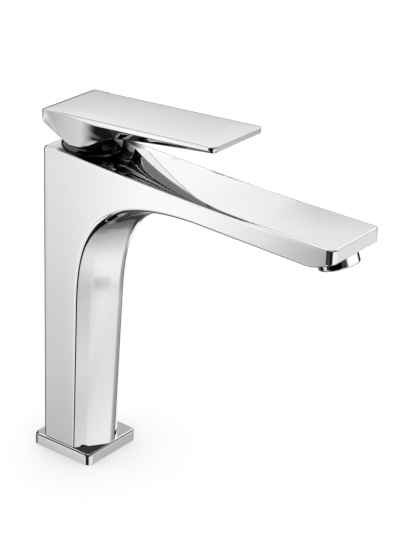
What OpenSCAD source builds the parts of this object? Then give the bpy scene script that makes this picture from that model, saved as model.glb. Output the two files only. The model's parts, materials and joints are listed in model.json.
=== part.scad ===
// Tall single-lever basin mixer: cast column and spout, plate lever on a 35 mm ceramic-disc cartridge,
// riser tubes to a brass foot, and a tilted aerator. Millimetres, +X along the spout, +Z up.
// The origin is the centre of the base plate's underside, on the axis of the fixing stud.

/* [Base plate] */
// Width and depth of the square base plate
base_w = 48; // [48:1:56]
// Height of the base plate
base_t = 8; // [6:0.5:10]
// Corner radius of the base plate in plan
base_corner = 3; // [1:0.5:5]
// Depth of the groove that holds the gasket
gasket_t = 2.5; // [1.5:0.5:3]

/* [Column] */
// Distance from the stud axis back to the column's rear face
col_back = 16.7; // [16.5:0.1:18]
// Half of the column's width at its foot
col_half_w = 22; // [21.8:0.1:22.5]
// Forward reach of the flat side faces at the foot
side_reach = 8.7; // [8:0.1:10]
// Forward reach of the front ridge at the foot
ridge_reach = 24.3; // [23.5:0.1:25]
// Radius-like width over which the front ridge is rounded
ridge_round = 4; // [2:0.5:6]
// Height of the rear deck above the basin
deck_z = 211; // [211:1:216]
// Widening of each side face per millimetre of height
draft_up = 0.0045; // [0.002:0.0005:0.006]
// Widening of each side face per millimetre along the spout
draft_out = 0.004; // [0.002:0.0005:0.005]
// Wall of the hollow column
col_wall = 3.5; // [3:0.25:4]

/* [Throat] */
// Height at which the column starts to bend into the spout
throat_z = 112; // [100:1:120]
// Distance at which the bend has become the straight spout
throat_x = 100; // [90:1:110]
// Forward reach of the side faces where the bend starts
throat_side = 10.4; // [9:0.1:12]
// Forward reach of the front ridge where the bend starts
throat_ridge = 29.2; // [28:0.1:32]
// Depth of the keel below the side faces at the end of the bend
keel_drop = 6; // [5:0.1:7]

/* [Spout] */
// Distance from the stud axis to the spout's tip
spout_reach = 197.8; // [190:1:210]
// Height of the flat top at the tip
spout_top = 204.4; // [204:0.1:206]
// Height of the side faces just under the tip
spout_side_h = 13.6; // [13:0.1:15]
// Height of the spout's front face
tip_face_h = 8.6; // [7:0.1:9.5]
// Corner radius of the tip in plan
tip_corner = 4; // [2:0.5:6]
// Length of the slanted chin behind the front face
chin_len = 16.8; // [15:0.1:18]
// Slight fall of the flat top towards the tip
top_fall = 0.4; // [0.2:0.1:1]
// Distance at which the scallops run out into the flat top
scallop_x = 150; // [140:1:160]
// Plan radius of the tongue's two edges
tongue_edge_r = 295; // [285:1:310]
// Radius of the tongue's rise towards the lever
tongue_rise_r = 520; // [500:5:600]
// Depth of the scallops under the side faces' edges
dish_depth = 3; // [2:0.25:3.5]
// Width of the narrow flat kept along the spout's top edges
edge_flat = 0.6; // [0.4:0.1:1]

/* [Cartridge] */
// Distance from the stud axis forward to the cartridge axis
axis_x = 5; // [4.5:0.1:5.5]
// Radius of the cartridge housing
cart_r = 17.5; // [17.5:0.1:17.8]
// Height of the seat that the cartridge stands on
seat_z = 165; // [163:0.5:166]
// Thickness of each ceramic disc
disc_t = 5; // [4:0.25:5]
// Height of the stem's pivot pin
pivot_z = 200; // [199.5:0.1:200.5]
// Distance from the pin down to the stem's ball
stem_arm = 10; // [9.5:0.1:10]
// Width of the square stem
stem_w = 7; // [6:0.25:7.5]
// Radius of the pivot pin
pin_r = 1.5; // [1.25:0.05:1.75]
// Outer radius of the chrome cover ring
cover_r = 19.9; // [19.5:0.1:20.2]

/* [Lever] */
// Distance from the stud axis forward to the lever's tip
lever_reach = 113.6; // [105:0.5:120]
// Distance from the stud axis back to the lever's rear face
lever_back = 17; // [16:0.1:18]
// Half of the lever's width
lever_half_w = 24.2; // [23.5:0.1:25]
// Height of the lever's top at its rear edge above the deck
lever_top = 23.6; // [23:0.1:26]
// Rise of the lever's top per millimetre towards its tip
lever_rise = 0.0645; // [0.05:0.0005:0.08]
// Thickness of the lever at its tip
lever_tip_t = 2.8; // [2.4:0.1:4]
// Height of the lever's vertical rear face
lever_back_h = 7.4; // [7:0.1:8]
// Height of the hub's underside above the deck
hub_gap = 2.8; // [2.4:0.1:3.5]
// Radius of the hub where it meets the cover ring
hub_r = 20; // [19:0.1:20.5]

/* [Waterways] */
// Outer radius of the two riser tubes
tube_r = 5; // [4.5:0.1:5]
// Wall of the riser tubes
tube_wall = 0.8; // [0.6:0.1:1]
// Distance of each riser tube from the middle plane
tube_y = 10; // [9.8:0.1:10.2]
// Distance from the stud axis forward to the riser tubes
tube_x = 3; // [2.6:0.1:3.3]
// Outer radius of the waterway tube in the spout
water_r = 4; // [3.5:0.1:4.2]
// Height of the waterway in the spout
water_z = 197.5; // [197:0.1:198]
// Thread hole radius of the M10 x 1 hose ports
port_r = 4.5; // [4.4:0.05:4.6]
// Thread hole radius of the M8 stud
stud_r = 3.4; // [3.3:0.05:3.5]

/* [Aerator] */
// Outer radius of the aerator ring
aer_r = 12.35; // [12:0.05:12.5]
// Forward tilt of the aerator's axis in degrees
aer_tilt = 20; // [16:0.5:22]
// Distance from the spout's tip back to the middle of the aerator's outlet
aer_setback = 10.5; // [10.2:0.1:12]
// Depth of the aerator's outlet below the flat top
aer_drop = 19.5; // [19:0.1:19.8]

/* [Clearances] */
// Clearance between parts that slip into each other
slip = 0.2; // [0.1:0.05:0.25]
// Clearance of the running pivot
run_gap = 0.04; // [0.02:0.01:0.08]

/* [Hidden] */
$fn = 64;

// Small overlap that makes a cut run clear of a face
eps = 1;

// Body: side faces, throat and keel
foot_z = base_t;
tip_side_z = spout_top - spout_side_h;
throat_side_z = tip_side_z + 2;
chin_x = spout_reach - chin_len;
keel_end_x = chin_x - 16;
corner_t = (deck_z - throat_z) / (deck_z - throat_z + throat_x + col_back);

// Top of the body: deck, dish round the hub, scallops and tongue
dish_x = axis_x - 11;
dish_ramp = 6;
well_r = cover_r + 2 * slip;
well_z = deck_z - 3.5;
tongue_x = axis_x + well_r + 3.2;

// Cartridge stack, from its seat upwards
bore_r = cart_r + 0.5;
base_rim_z = seat_z + 9;
disc_z = seat_z + 7;
moving_z = disc_z + disc_t;
carrier_z = moving_z + disc_t;
ball_z = pivot_z - stem_arm;
ball_r = 3;
carrier_top = ball_z + 2;
guide_r = cart_r - 2.5;
guide_z = carrier_top + 0.4;
guide_top = pivot_z + 1.5;
neck_r = guide_r - 4.2;
neck_top = pivot_z + 7;
housing_top = guide_top + 3;
limiter_r = neck_r + 2.4;
nut_in_r = limiter_r + 0.3;
port_hole_r = 3.3;
port_ring = 9.5;
port_angle = 65;
window_l = 17.2;
window_w = stem_w + 0.6;

// Foot of the column
foot_in = col_wall;
foot_top = 24;
lug_x = -col_back + foot_in + 4.7;
lug_y = col_half_w - foot_in - 4.5;
lug_w = 3.5;
lug_top = foot_top + 2;
screw_r = 2;
screw_head_r = 3.5;
screw_head_h = 4;
socket_z = 14;
web_z = seat_z - 19;
tube_top = seat_z - 7.5;
ring_r = 0.85;
foot_seal_z = foot_top - 4;
web_seal_z = web_z + 4;

// Waterway from the cartridge to the aerator
outlet_z = seat_z - 9;
riser_x = axis_x + bore_r + 5.3;
water_x0 = riser_x + 9.7;
aer_x = spout_reach - aer_setback;
aer_z = spout_top - aer_drop;
aer_depth = 14;
water_x1 = aer_x - 21;
water_seal = 3;

// Lever
hub_z = deck_z + hub_gap;
insert_r = 7.4;
lever_top_z = deck_z + lever_top;
lever_screw_z = lever_top_z - lever_back_h / 2;
plug_r = 2.8;
plug_l = 3;
grub_r = 2.4;
stem_top = lever_screw_z + 2.2;

// ---------------------------------------------------------------- outline functions

function mix(a, b, t) = a + (b - a) * t;

function clamp01(t) = min(1, max(0, t));

function bezier(a, b, c, d, t) =
    pow(1 - t, 3) * a + 3 * pow(1 - t, 2) * t * b + 3 * (1 - t) * t * t * c + pow(t, 3) * d;

// Half width of the drafted body at a place on its side faces
function half_w(x, z) = col_half_w + draft_up * (z - foot_z) + draft_out * (x + col_back);

// Share of the way from the side faces to the ridge at a fraction f of the half width
function ridge_share(f, w) =
    let (r = ridge_round / w, a = abs(f))
    a > r ? 1 - a : 1 - r / 2 - a * a / (2 * r);

// Flat top of the spout, and the tongue that rises from it towards the hub
function flat_z(x) = spout_top + top_fall * clamp01((spout_reach - x) / (spout_reach - scallop_x));
function tongue_z(x) = flat_z(x) + pow(max(0, scallop_x - x), 2) / (2 * tongue_rise_r);

// Upper edge of the side faces: level round the deck, then falling in a curve to the flat top
function edge_z(x) =
    let (span = scallop_x - dish_x, rise = deck_z - flat_z(scallop_x))
    x <= dish_x ? deck_z : x >= scallop_x ? flat_z(x) - edge_flat / 3
    : flat_z(x) - edge_flat / 3 + (rise + edge_flat / 3) * pow((scallop_x - x) / span, 1.5);

// Half width of the tongue, a plan arc that is tangent to the side faces
function tongue_y(x, w) =
    let (d = max(0, scallop_x - x))
    max(0.8, min(w - edge_flat, w - (tongue_edge_r - sqrt(pow(tongue_edge_r, 2) - d * d))));

// Depth of the dish and scallops under the side faces' edges
function dish_at(x) =
    dish_depth * clamp01((x - dish_x) / dish_ramp) * clamp01((scallop_x - x) / (scallop_x - 60));

// Half of the top's outline at x, from the side edge to the middle, as [y, z]
function top_half(x, inset = 0) =
    let (
        ze = edge_z(x),
        w = half_w(x, ze) - inset,
        yt = x < tongue_x ? 0.8 : tongue_y(x, w),
        floor_z = ze - dish_at(x),
        zt = x < tongue_x ? floor_z : tongue_z(x),
        g = w - yt
    )
    concat(
        [for (t = [1, 0.84, 0.66, 0.48, 0.3, 0.14, 0]) [
            bezier(yt, yt + 0.12 * g, yt + 0.5 * g, w, t),
            bezier(zt, mix(zt, floor_z, 0.85), floor_z, ze, t)
        ]],
        [[yt / 2, zt], [0, zt]]
    );

// Whole outline of the top from the far side to the near side
function top_line(x, inset = 0) =
    let (h = top_half(x, inset), n = len(h))
    concat(h, [for (i = [n - 2:-1:0]) [-h[i][0], h[i][1]]]);

ridge_steps = [-1, -ridge_round / col_half_w, -ridge_round / col_half_w / 2, 0,
               ridge_round / col_half_w / 2, ridge_round / col_half_w, 1];

// Inner side of a ring: from the near side face over the ridge to the far one
function inner_line(side, ridge, inset = 0) =
    let (w = half_w(side[0], side[1]) - inset)
    [for (f = ridge_steps) let (s = ridge_share(f, w)) [
        mix(side[0], ridge[0], s), f * w, mix(side[1], ridge[1], s)
    ]];

// Rear face of a ring at a height
function rear_line(z) =
    let (k = half_w(-col_back, z) / half_w(-col_back, deck_z))
    [for (p = top_line(-col_back)) [-col_back, p[0] * k, z]];

function top_ring(x, inset = 0) = [for (p = top_line(x, inset)) [x, p[0], p[1]]];

// Throat curves of the side faces and of the ridge, for t from 0 at the column to 1 at the spout
function side_at(t) = [
    bezier(throat_side, throat_side + 0.8, throat_x - 72.6, throat_x, t),
    bezier(throat_z, throat_z + 52.6, throat_side_z, throat_side_z, t)
];
function ridge_at(t) = [
    bezier(throat_ridge, throat_ridge + 2.2, throat_x - 60.7, throat_x, t),
    bezier(throat_z, throat_z + 48.6, throat_side_z - keel_drop, throat_side_z - keel_drop, t)
];

// Underside of the straight spout, with its slanted chin
function under_z(x) =
    x > chin_x ? mix(tip_side_z, spout_top - tip_face_h, (x - chin_x) / chin_len)
    : mix(throat_side_z, tip_side_z, clamp01((x - throat_x) / (chin_x - throat_x)));
function keel_z(x) = under_z(x) - keel_drop * clamp01((keel_end_x - x) / (keel_end_x - throat_x));

top_stations = concat(
    [-12, -9],
    [for (i = [0:4]) dish_x + i * dish_ramp / 4],
    [for (i = [1:5]) dish_x + dish_ramp + i * 4.6],
    [tongue_x - 0.4, tongue_x, tongue_x + 4, tongue_x + 9],
    [for (i = [1:7]) mix(tongue_x + 9, throat_x - 6, i / 7)]
);

column_rings = [for (t = [0, 0.5]) let (z = mix(foot_z, throat_z, t)) concat(
    inner_line([mix(side_reach, throat_side, t), z], [mix(ridge_reach, throat_ridge, t), z]),
    rear_line(z)
)];

rear_rings = [for (i = [0:8]) let (t = corner_t * i / 8) concat(
    inner_line(side_at(t), ridge_at(t)), rear_line(mix(throat_z, deck_z, i / 8))
)];

bend_rings = [for (i = [0:len(top_stations) - 1])
    let (t = mix(corner_t, 1, (i + 1) / (len(top_stations) + 1)))
    concat(inner_line(side_at(t), ridge_at(t)), top_ring(top_stations[i]))
];

spout_stations = concat(
    [for (i = [0:7]) mix(throat_x, keel_end_x, i / 7)],
    [mix(keel_end_x, chin_x, 0.5), chin_x, mix(chin_x, spout_reach - tip_corner, 0.5)]
);

spout_rings = [for (x = spout_stations) concat(
    inner_line([x, under_z(x)], [x, keel_z(x)]), top_ring(x)
)];

tip_rings = [for (a = [0, 22.5, 45, 67.5, 90])
    let (x = spout_reach - tip_corner * (1 - sin(a)), inset = tip_corner * (1 - cos(a)))
    concat(inner_line([x, under_z(x)], [x, keel_z(x)], inset), top_ring(x, inset))
];

function ring_mean(r) = [for (k = [0:2]) sum([for (p = r) p[k]]) / len(r)];
function sum(v, i = 0) = i < len(v) ? v[i] + sum(v, i + 1) : 0;

// Closed skin through equal rings of points, with a flat cap at each end
module loft(rings) {
    n = len(rings[0]);
    m = len(rings);
    polyhedron(
        points = concat([for (r = rings) for (p = r) p], [ring_mean(rings[0]), ring_mean(rings[m - 1])]),
        faces = concat(
            [for (j = [0:n - 1]) [m * n, j, (j + 1) % n]],
            [for (j = [0:n - 1]) [m * n + 1, (m - 1) * n + (j + 1) % n, (m - 1) * n + j]],
            [for (i = [0:m - 2]) for (j = [0:n - 1])
                let (a = i * n + j, b = i * n + (j + 1) % n)
                for (f = [[a, a + n, b + n], [a, b + n, b]]) f]
        )
    );
}

// Plan outline of the column's foot, set in by a margin
function foot_outline(d) =
    let (
        dx = ridge_reach - side_reach,
        l = sqrt(dx * dx + col_half_w * col_half_w),
        nx = col_half_w / l,
        ny = dx / l,
        c = nx * ridge_reach - d,
        w = col_half_w - d,
        back = -col_back + d
    )
    [[back, -w], [(c - ny * w) / nx, -w], [c / nx, 0], [(c - ny * w) / nx, w], [back, w]];

module foot_prism(d, z0, z1) {
    translate([0, 0, z0]) linear_extrude(z1 - z0) polygon(foot_outline(d));
}

module tube(r_out, r_in, z0, z1) {
    difference() {
        translate([0, 0, z0]) cylinder(h = z1 - z0, r = r_out);
        translate([0, 0, z0 - eps]) cylinder(h = z1 - z0 + 2 * eps, r = r_in);
    }
}

module hole(r, z0, z1) {
    translate([0, 0, z0]) cylinder(h = z1 - z0, r = r);
}

module o_ring(r, wire) {
    rotate_extrude() translate([r, 0]) circle(r = wire, $fn = 24);
}

module on_axis() {
    translate([axis_x, 0, 0]) children();
}

module at_tubes() {
    for (s = [-1, 1]) translate([tube_x, s * tube_y, 0]) children();
}

module at_lugs() {
    for (s = [-1, 1]) translate([lug_x, s * lug_y, 0]) children();
}

// Square lugs in the two rear corners of the hollow column
module lugs(play, z0, z1) {
    x1 = lug_x + lug_w + play;
    y0 = lug_y - lug_w - play;
    for (s = [-1, 1])
        translate([-col_back, s > 0 ? y0 : -col_half_w, z0])
            cube([x1 + col_back, col_half_w - y0, z1 - z0]);
}

// The two inlets at the front, and the outlet at the rear of the cartridge seat
module at_inlets() {
    for (s = [-1, 1]) translate([
        axis_x + port_ring * cos(port_angle), s * port_ring * sin(port_angle), 0
    ]) children();
}

module at_outlet() {
    translate([axis_x - port_ring, 0, 0]) children();
}

module at_aerator() {
    translate([aer_x, 0, aer_z]) rotate([0, -aer_tilt, 0]) children();
}

module along_x(x0, x1, r, z) {
    translate([x0, 0, z]) rotate([0, 90, 0]) cylinder(h = x1 - x0, r = r);
}

// ---------------------------------------------------------------- body and foot

module body_shell() {
    color([0.86, 0.87, 0.88]) difference() {
        loft(concat(column_rings, rear_rings, bend_rings, spout_rings, tip_rings));
        // Hollow column, with two lugs left standing for the foot's screws
        difference() {
            foot_prism(foot_in, foot_z - eps, web_z);
            lugs(0, foot_z - 2 * eps, lug_top);
        }
        at_lugs() hole(screw_r - 0.35, foot_z - eps, foot_top);
        // Sockets of the riser tubes, and the ports under the cartridge
        at_tubes() {
            hole(tube_r + slip, web_z - eps, tube_top + 2.5);
            hole(tube_r + 2 * ring_r + slip, web_seal_z - ring_r - 0.1, web_seal_z + ring_r + 0.1);
        }
        at_inlets() hole(port_hole_r, tube_top + 0.5, seat_z + eps);
        at_outlet() hole(port_hole_r, outlet_z, seat_z + eps);
        along_x(axis_x - port_ring, riser_x, port_hole_r, outlet_z);
        translate([riser_x, 0, 0]) hole(port_hole_r, outlet_z, water_z);
        // Cartridge bore and the well of the cover ring
        on_axis() {
            hole(bore_r, seat_z, deck_z + 20);
            hole(well_r, well_z, deck_z + 20);
            for (s = [-1, 1]) rotate(s * 135) translate([cart_r - 2.5, 0, 0])
                hole(1.3, seat_z - 2.5, seat_z + eps);
        }
        // Waterway of the spout
        along_x(riser_x, aer_x - 8, water_r + slip, water_z);
        for (x = [water_x0 + water_seal, water_x1 - water_seal])
            along_x(x - 0.9, x + 0.9, water_r + 1.6, water_z);
        translate([water_x0 + 9, -16, water_z - 3.7])
            cube([water_x1 - water_x0 - 18, 32, 7.4]);
        at_aerator() {
            hole(aer_r + slip, -5, 11.7);
            hole(aer_r - 0.65, -5, aer_depth);
        }
    }
}

module base_plate() {
    color([0.84, 0.85, 0.86]) difference() {
        linear_extrude(base_t) square_plan(base_w, base_corner);
        foot_prism(foot_in, -eps, base_t + eps);
        translate([0, 0, -eps]) linear_extrude(gasket_t + eps) gasket_plan(0);
    }
}

module square_plan(w, r) {
    c = w / 2 - r;
    union() {
        square([w, 2 * c], center = true);
        square([2 * c, w], center = true);
        for (x = [-c, c]) for (y = [-c, c]) translate([x, y]) circle(r);
    }
}

// Flat ring under the base plate, with a play on both sides
module gasket_plan(play) {
    outer = base_w - 2;
    inner = base_w - 6.4;
    difference() {
        square_plan(outer - 2 * play, base_corner - 0.8);
        square_plan(inner + 2 * play, base_corner - 0.9);
    }
}

module base_gasket() {
    color([0.08, 0.08, 0.08]) linear_extrude(gasket_t) gasket_plan(slip / 4);
}

module foot_block() {
    color([0.78, 0.62, 0.3]) difference() {
        foot_prism(foot_in + slip, 0, foot_top);
        lugs(slip, foot_z, foot_top + eps);
        at_lugs() {
            hole(screw_r + slip, -eps, foot_top);
            hole(screw_head_r + slip, -eps, screw_head_h);
        }
        at_tubes() {
            hole(port_r, -eps, 11);
            hole(3.6, 10, socket_z + eps);
            hole(tube_r + slip, socket_z, foot_top + eps);
            hole(tube_r + 2 * ring_r + slip, foot_seal_z - ring_r - 0.1, foot_seal_z + ring_r + 0.1);
        }
        hole(stud_r, -eps, 12);
    }
}

module foot_block_screws() {
    color([0.75, 0.76, 0.78]) at_lugs() difference() {
        union() {
            hole(screw_head_r, 0.4, screw_head_h);
            hole(screw_r - 0.4, screw_head_h, foot_top - 2);
        }
        translate([0, 0, 0.4 - eps]) cylinder(h = 2.2 + eps, r = 1.7, $fn = 6);
    }
}

module riser() {
    color([0.8, 0.5, 0.34]) tube(tube_r, tube_r - tube_wall, socket_z, tube_top);
}

module inlet_tube_hot() {
    translate([tube_x, tube_y, 0]) riser();
}

module inlet_tube_cold() {
    translate([tube_x, -tube_y, 0]) riser();
}

module inlet_tube_seals() {
    color([0.1, 0.1, 0.1]) at_tubes() for (z = [foot_seal_z, web_seal_z])
        translate([0, 0, z]) o_ring(tube_r + ring_r + 0.05, ring_r);
}

// ---------------------------------------------------------------- cartridge

module cartridge_base() {
    color([0.92, 0.92, 0.9]) difference() {
        union() {
            on_axis() {
                hole(cart_r, seat_z, base_rim_z);
                for (s = [-1, 1]) rotate(s * 135) translate([cart_r - 2.5, 0, 0])
                    hole(1.1, seat_z - 2, seat_z + eps);
            }
        }
        on_axis() hole(guide_r - 0.3, disc_z, base_rim_z + eps);
        at_ports() {
            hole(port_hole_r, seat_z - eps, base_rim_z);
            hole(port_hole_r + 1.3, seat_z - eps, seat_z + 2);
        }
    }
}

module at_ports() {
    at_inlets() children();
    at_outlet() children();
}

module cartridge_base_seals() {
    color([0.12, 0.12, 0.12]) at_ports() tube(port_hole_r + 1.2, port_hole_r + 0.1, seat_z, seat_z + 2);
}

module ceramic_disc_fixed() {
    color([0.97, 0.97, 0.95]) difference() {
        on_axis() hole(guide_r - 0.5, disc_z, moving_z);
        at_ports() hole(port_hole_r, disc_z - eps, moving_z + eps);
    }
}

// The moving disc has a blind pocket that joins the inlets to the outlet when the disc slides forward
module ceramic_disc_moving() {
    color([0.95, 0.95, 0.93]) difference() {
        on_axis() hole(guide_r - 4.6, moving_z, carrier_z);
        translate([0, 0, moving_z - eps]) linear_extrude(3 + eps) {
            translate([axis_x - 4.5, 0]) circle(3.5);
            translate([axis_x - 4.5, -3.5]) square([6, 7]);
            translate([axis_x + 1.5, 0]) circle(3.5);
        }
    }
}

module disc_carrier() {
    color([0.3, 0.32, 0.34]) difference() {
        on_axis() hole(guide_r - 4.6, carrier_z, carrier_top);
        translate([axis_x - ball_r - slip, 0, ball_z - 4])
            translate([0, -ball_r - slip, 0]) cube([2 * (ball_r + slip), 2 * (ball_r + slip), 10]);
    }
}

module spindle_guide() {
    color([0.2, 0.22, 0.25]) difference() {
        on_axis() {
            hole(guide_r, guide_z, guide_top);
            hole(neck_r, guide_top - eps, neck_top);
        }
        translate([axis_x - window_l / 2, -window_w / 2, guide_z - eps])
            cube([window_l, window_w, neck_top]);
        translate([axis_x, 0, pivot_z]) rotate([90, 0, 0])
            cylinder(h = 2 * guide_r + 2, r = pin_r + run_gap / 2, center = true);
    }
}

module temperature_limiter() {
    color([0.75, 0.1, 0.08]) on_axis()
        tube(limiter_r, neck_r + 0.1, housing_top + 0.1, housing_top + 1.9);
}

module cartridge_housing() {
    color([0.88, 0.88, 0.85]) on_axis() difference() {
        hole(cart_r, base_rim_z, housing_top);
        hole(guide_r + 0.3, base_rim_z - eps, guide_top + 0.3);
        hole(neck_r + 0.4, guide_top - eps, housing_top + eps);
    }
}

module cartridge_stem() {
    color([0.72, 0.6, 0.35]) on_axis() difference() {
        union() {
            translate([0, 0, ball_z]) sphere(r = ball_r);
            hole(2.2, ball_z, pivot_z - 4);
            translate([-stem_w / 2, -stem_w / 2, pivot_z - 4.5])
                cube([stem_w, stem_w, stem_top - pivot_z + 4.5]);
        }
        translate([0, 0, pivot_z]) rotate([90, 0, 0])
            cylinder(h = 2 * stem_w, r = pin_r + run_gap, center = true);
    }
}

module stem_pivot_pin() {
    color([0.7, 0.71, 0.73]) translate([axis_x, 0, pivot_z]) rotate([90, 0, 0])
        cylinder(h = 2 * guide_r - 5, r = pin_r, center = true);
}

module cartridge_nut() {
    color([0.8, 0.65, 0.32]) on_axis() difference() {
        union() {
            hole(bore_r - slip, housing_top, well_z - 0.1);
            translate([0, 0, well_z - 0.2]) cylinder(h = 1.9, r = cart_r - 0.2, $fn = 6);
        }
        hole(nut_in_r, housing_top - eps, deck_z);
    }
}

// Domed ring: a turned section with a wall outside and a lip inside, open over the hexagon
module cover_ring() {
    color([0.86, 0.87, 0.88]) on_axis() rotate_extrude() polygon([
        [cover_r - 1.6, well_z], [cover_r, well_z], [cover_r, deck_z - 1.2],
        [cover_r - 0.6, deck_z - 0.6], [cover_r - 2.2, deck_z - 0.2],
        [nut_in_r + 1, deck_z], [nut_in_r, deck_z - 0.4], [nut_in_r, deck_z - 1.5],
        [cover_r - 1.6, deck_z - 1.5]
    ]);
}

// ---------------------------------------------------------------- lever

function lever_z(x) = lever_top_z + lever_rise * (x + lever_back);

// Underside of the lever: slanted rear, flat hub, a hollow curve up to the plate, and a thin plate
hub_front_x = axis_x + 11;
plate_x = axis_x + 32;
rear_foot_x = axis_x - 3.2;

function plate_under(x) =
    let (t = (x - plate_x) / (lever_reach - plate_x), t0 = lever_z(plate_x) - 10.3)
    mix(t0, lever_z(lever_reach) - lever_tip_t, t);

function lever_under(x) =
    x <= rear_foot_x ? mix(lever_top_z - lever_back_h, hub_z, (x + lever_back) / (rear_foot_x + lever_back))
    : x <= hub_front_x ? hub_z
    : x >= plate_x ? plate_under(x)
    : let (t = (x - hub_front_x) / (plate_x - hub_front_x))
      mix(hub_z, plate_under(plate_x), 1 - pow(1 - t, 1.7));

// Half width of the lever's underside: the round hub, then the hollow flanks of the plate
function lever_foot_w(x) =
    x <= rear_foot_x ? mix(lever_half_w - 0.2, hub_r - 0.2, (x + lever_back) / (rear_foot_x + lever_back))
    : x <= hub_front_x ? sqrt(pow(hub_r, 2) - pow(x - axis_x, 2))
    : mix(sqrt(pow(hub_r, 2) - pow(hub_front_x - axis_x, 2)), lever_half_w - 1,
        pow((x - hub_front_x) / (lever_reach - hub_front_x), 0.6));

function strip_h(x) = mix(0.1, 3, clamp01((x + 8) / 34)) * (1 - 0.25 * clamp01((x - 60) / 60));

// Ring of the lever at x, narrowed at its tip corners by an inset
function lever_ring(x, inset = 0) =
    let (
        zt = lever_z(x),
        w = lever_half_w - inset,
        zb = lever_under(x),
        f = min(lever_foot_w(x), w - 0.1),
        zs = max(zt - strip_h(x), zb + 0.1),
        mid_y = mix(w, f, 0.62),
        mid_z = mix(zs, zb, 0.5),
        half = [[w, zt], [w, zs], [mid_y, mid_z], [f, zb], [f / 2, zb]]
    )
    concat(
        [for (p = half) [x, -p[0], p[1]]],
        [[x, 0, zb]],
        [for (i = [4:-1:0]) [x, half[i][0], half[i][1]]],
        [[x, 0, zt]]
    );

lever_stations = concat(
    [for (i = [0:4]) mix(-lever_back, rear_foot_x, i / 4)],
    [for (i = [1:4]) mix(rear_foot_x, hub_front_x, i / 4)],
    [for (i = [1:7]) mix(hub_front_x, plate_x, i / 7)],
    [for (i = [1:7]) mix(plate_x, lever_reach - 2, i / 7)]
);

module lever() {
    color([0.85, 0.86, 0.87]) difference() {
        loft(concat(
            [for (x = lever_stations) lever_ring(x)],
            [for (a = [30, 60, 90]) lever_ring(lever_reach - 2 * (1 - sin(a)), 2 * (1 - cos(a)))]
        ));
        on_axis() hole(insert_r + slip, hub_z - eps, stem_top + 0.9);
        along_x(-lever_back + plug_l, axis_x, grub_r + 0.1, lever_screw_z);
        along_x(-lever_back - eps, -lever_back + plug_l, plug_r + slip / 2, lever_screw_z);
    }
}

module lever_insert() {
    color([0.78, 0.62, 0.3]) difference() {
        on_axis() hole(insert_r, hub_z + 2.2, stem_top + 0.8);
        translate([axis_x, 0, 0])
            translate([-stem_w / 2 - 0.1, -stem_w / 2 - 0.1, hub_z - eps])
                cube([stem_w + slip, stem_w + slip, stem_top - hub_z + eps + 0.1]);
        along_x(axis_x - insert_r - eps, axis_x, grub_r + 0.1, lever_screw_z);
    }
}

module lever_set_screw() {
    color([0.6, 0.61, 0.63]) difference() {
        along_x(-lever_back + plug_l + 0.2, axis_x - stem_w / 2, grub_r, lever_screw_z);
        translate([-lever_back + plug_l + 0.2 - eps, 0, lever_screw_z]) rotate([0, 90, 0])
            cylinder(h = 2.5 + eps, r = 1.4, $fn = 6);
    }
}

module lever_screw_plug() {
    color([0.8, 0.81, 0.82]) along_x(-lever_back, -lever_back + plug_l - 0.1, plug_r, lever_screw_z);
}

// ---------------------------------------------------------------- waterway and aerator

module spout_tube() {
    color([0.8, 0.5, 0.34]) difference() {
        along_x(water_x0, water_x1, water_r, water_z);
        along_x(water_x0 - eps, water_x1 + eps, water_r - 0.7, water_z);
    }
}

module spout_tube_seals() {
    color([0.1, 0.1, 0.1]) for (x = [water_x0 + water_seal, water_x1 - water_seal])
        translate([x, 0, water_z]) rotate([0, 90, 0]) o_ring(water_r + 0.8, 0.75);
}

module aerator_housing() {
    color([0.86, 0.87, 0.88]) at_aerator() difference() {
        union() {
            hole(aer_r, 0, 11.5);
            hole(aer_r - 0.85, 11, 12.5);
        }
        hole(10, -eps, 2);
        hole(10.6, 1.2, 13);
    }
}

// Outlet plate of the aerator with a honeycomb of holes
module aerator_insert() {
    pitch = 2.7;
    color([0.9, 0.9, 0.88]) at_aerator() difference() {
        hole(10.4, 1.3, 9);
        for (i = [-3:3]) for (j = [-3:3])
            let (x = pitch * (i + j / 2), y = pitch * j * sin(60))
            if (norm([x, y]) < 8.6) translate([x, y, 0]) cylinder(h = 6, r = 1.2, $fn = 6);
        hole(8.6, 5.5, 10);
    }
}

module flow_regulator() {
    color([0.35, 0.6, 0.4]) at_aerator() difference() {
        hole(10.3, 9.1, 11.4);
        for (a = [0:45:315]) rotate(a) translate([6, 0, 0]) hole(1.1, 8, 12);
        hole(3, 8, 12);
    }
}

module inlet_strainer() {
    color([0.9, 0.9, 0.9]) at_aerator() difference() {
        intersection() {
            hole(9.6, 11.5, 13.9);
            translate([0, 0, 13.9 - 22]) sphere(r = 22);
        }
        intersection() {
            hole(8.8, 11.4, 13.2);
            translate([0, 0, 13.1 - 22]) sphere(r = 22);
        }
    }
}

module aerator_washer() {
    color([0.1, 0.1, 0.1]) at_aerator() tube(aer_r - 0.85, 9.8, 12.5, aer_depth);
}

body_shell();
base_plate();
base_gasket();
foot_block();
foot_block_screws();
inlet_tube_hot();
inlet_tube_cold();
inlet_tube_seals();
cartridge_base();
cartridge_base_seals();
ceramic_disc_fixed();
ceramic_disc_moving();
disc_carrier();
spindle_guide();
temperature_limiter();
cartridge_housing();
cartridge_stem();
stem_pivot_pin();
cartridge_nut();
cover_ring();
lever();
lever_insert();
lever_set_screw();
lever_screw_plug();
spout_tube();
spout_tube_seals();
aerator_housing();
aerator_insert();
flow_regulator();
inlet_strainer();
aerator_washer();
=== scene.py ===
"""Tall single-lever basin mixer in polished chrome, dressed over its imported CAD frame."""

import json
import logging
import math
from dataclasses import dataclass
from enum import Enum
from typing import Callable, Sequence

import bmesh
import bpy
import numpy as np
from mathutils import Matrix, Vector


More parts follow.
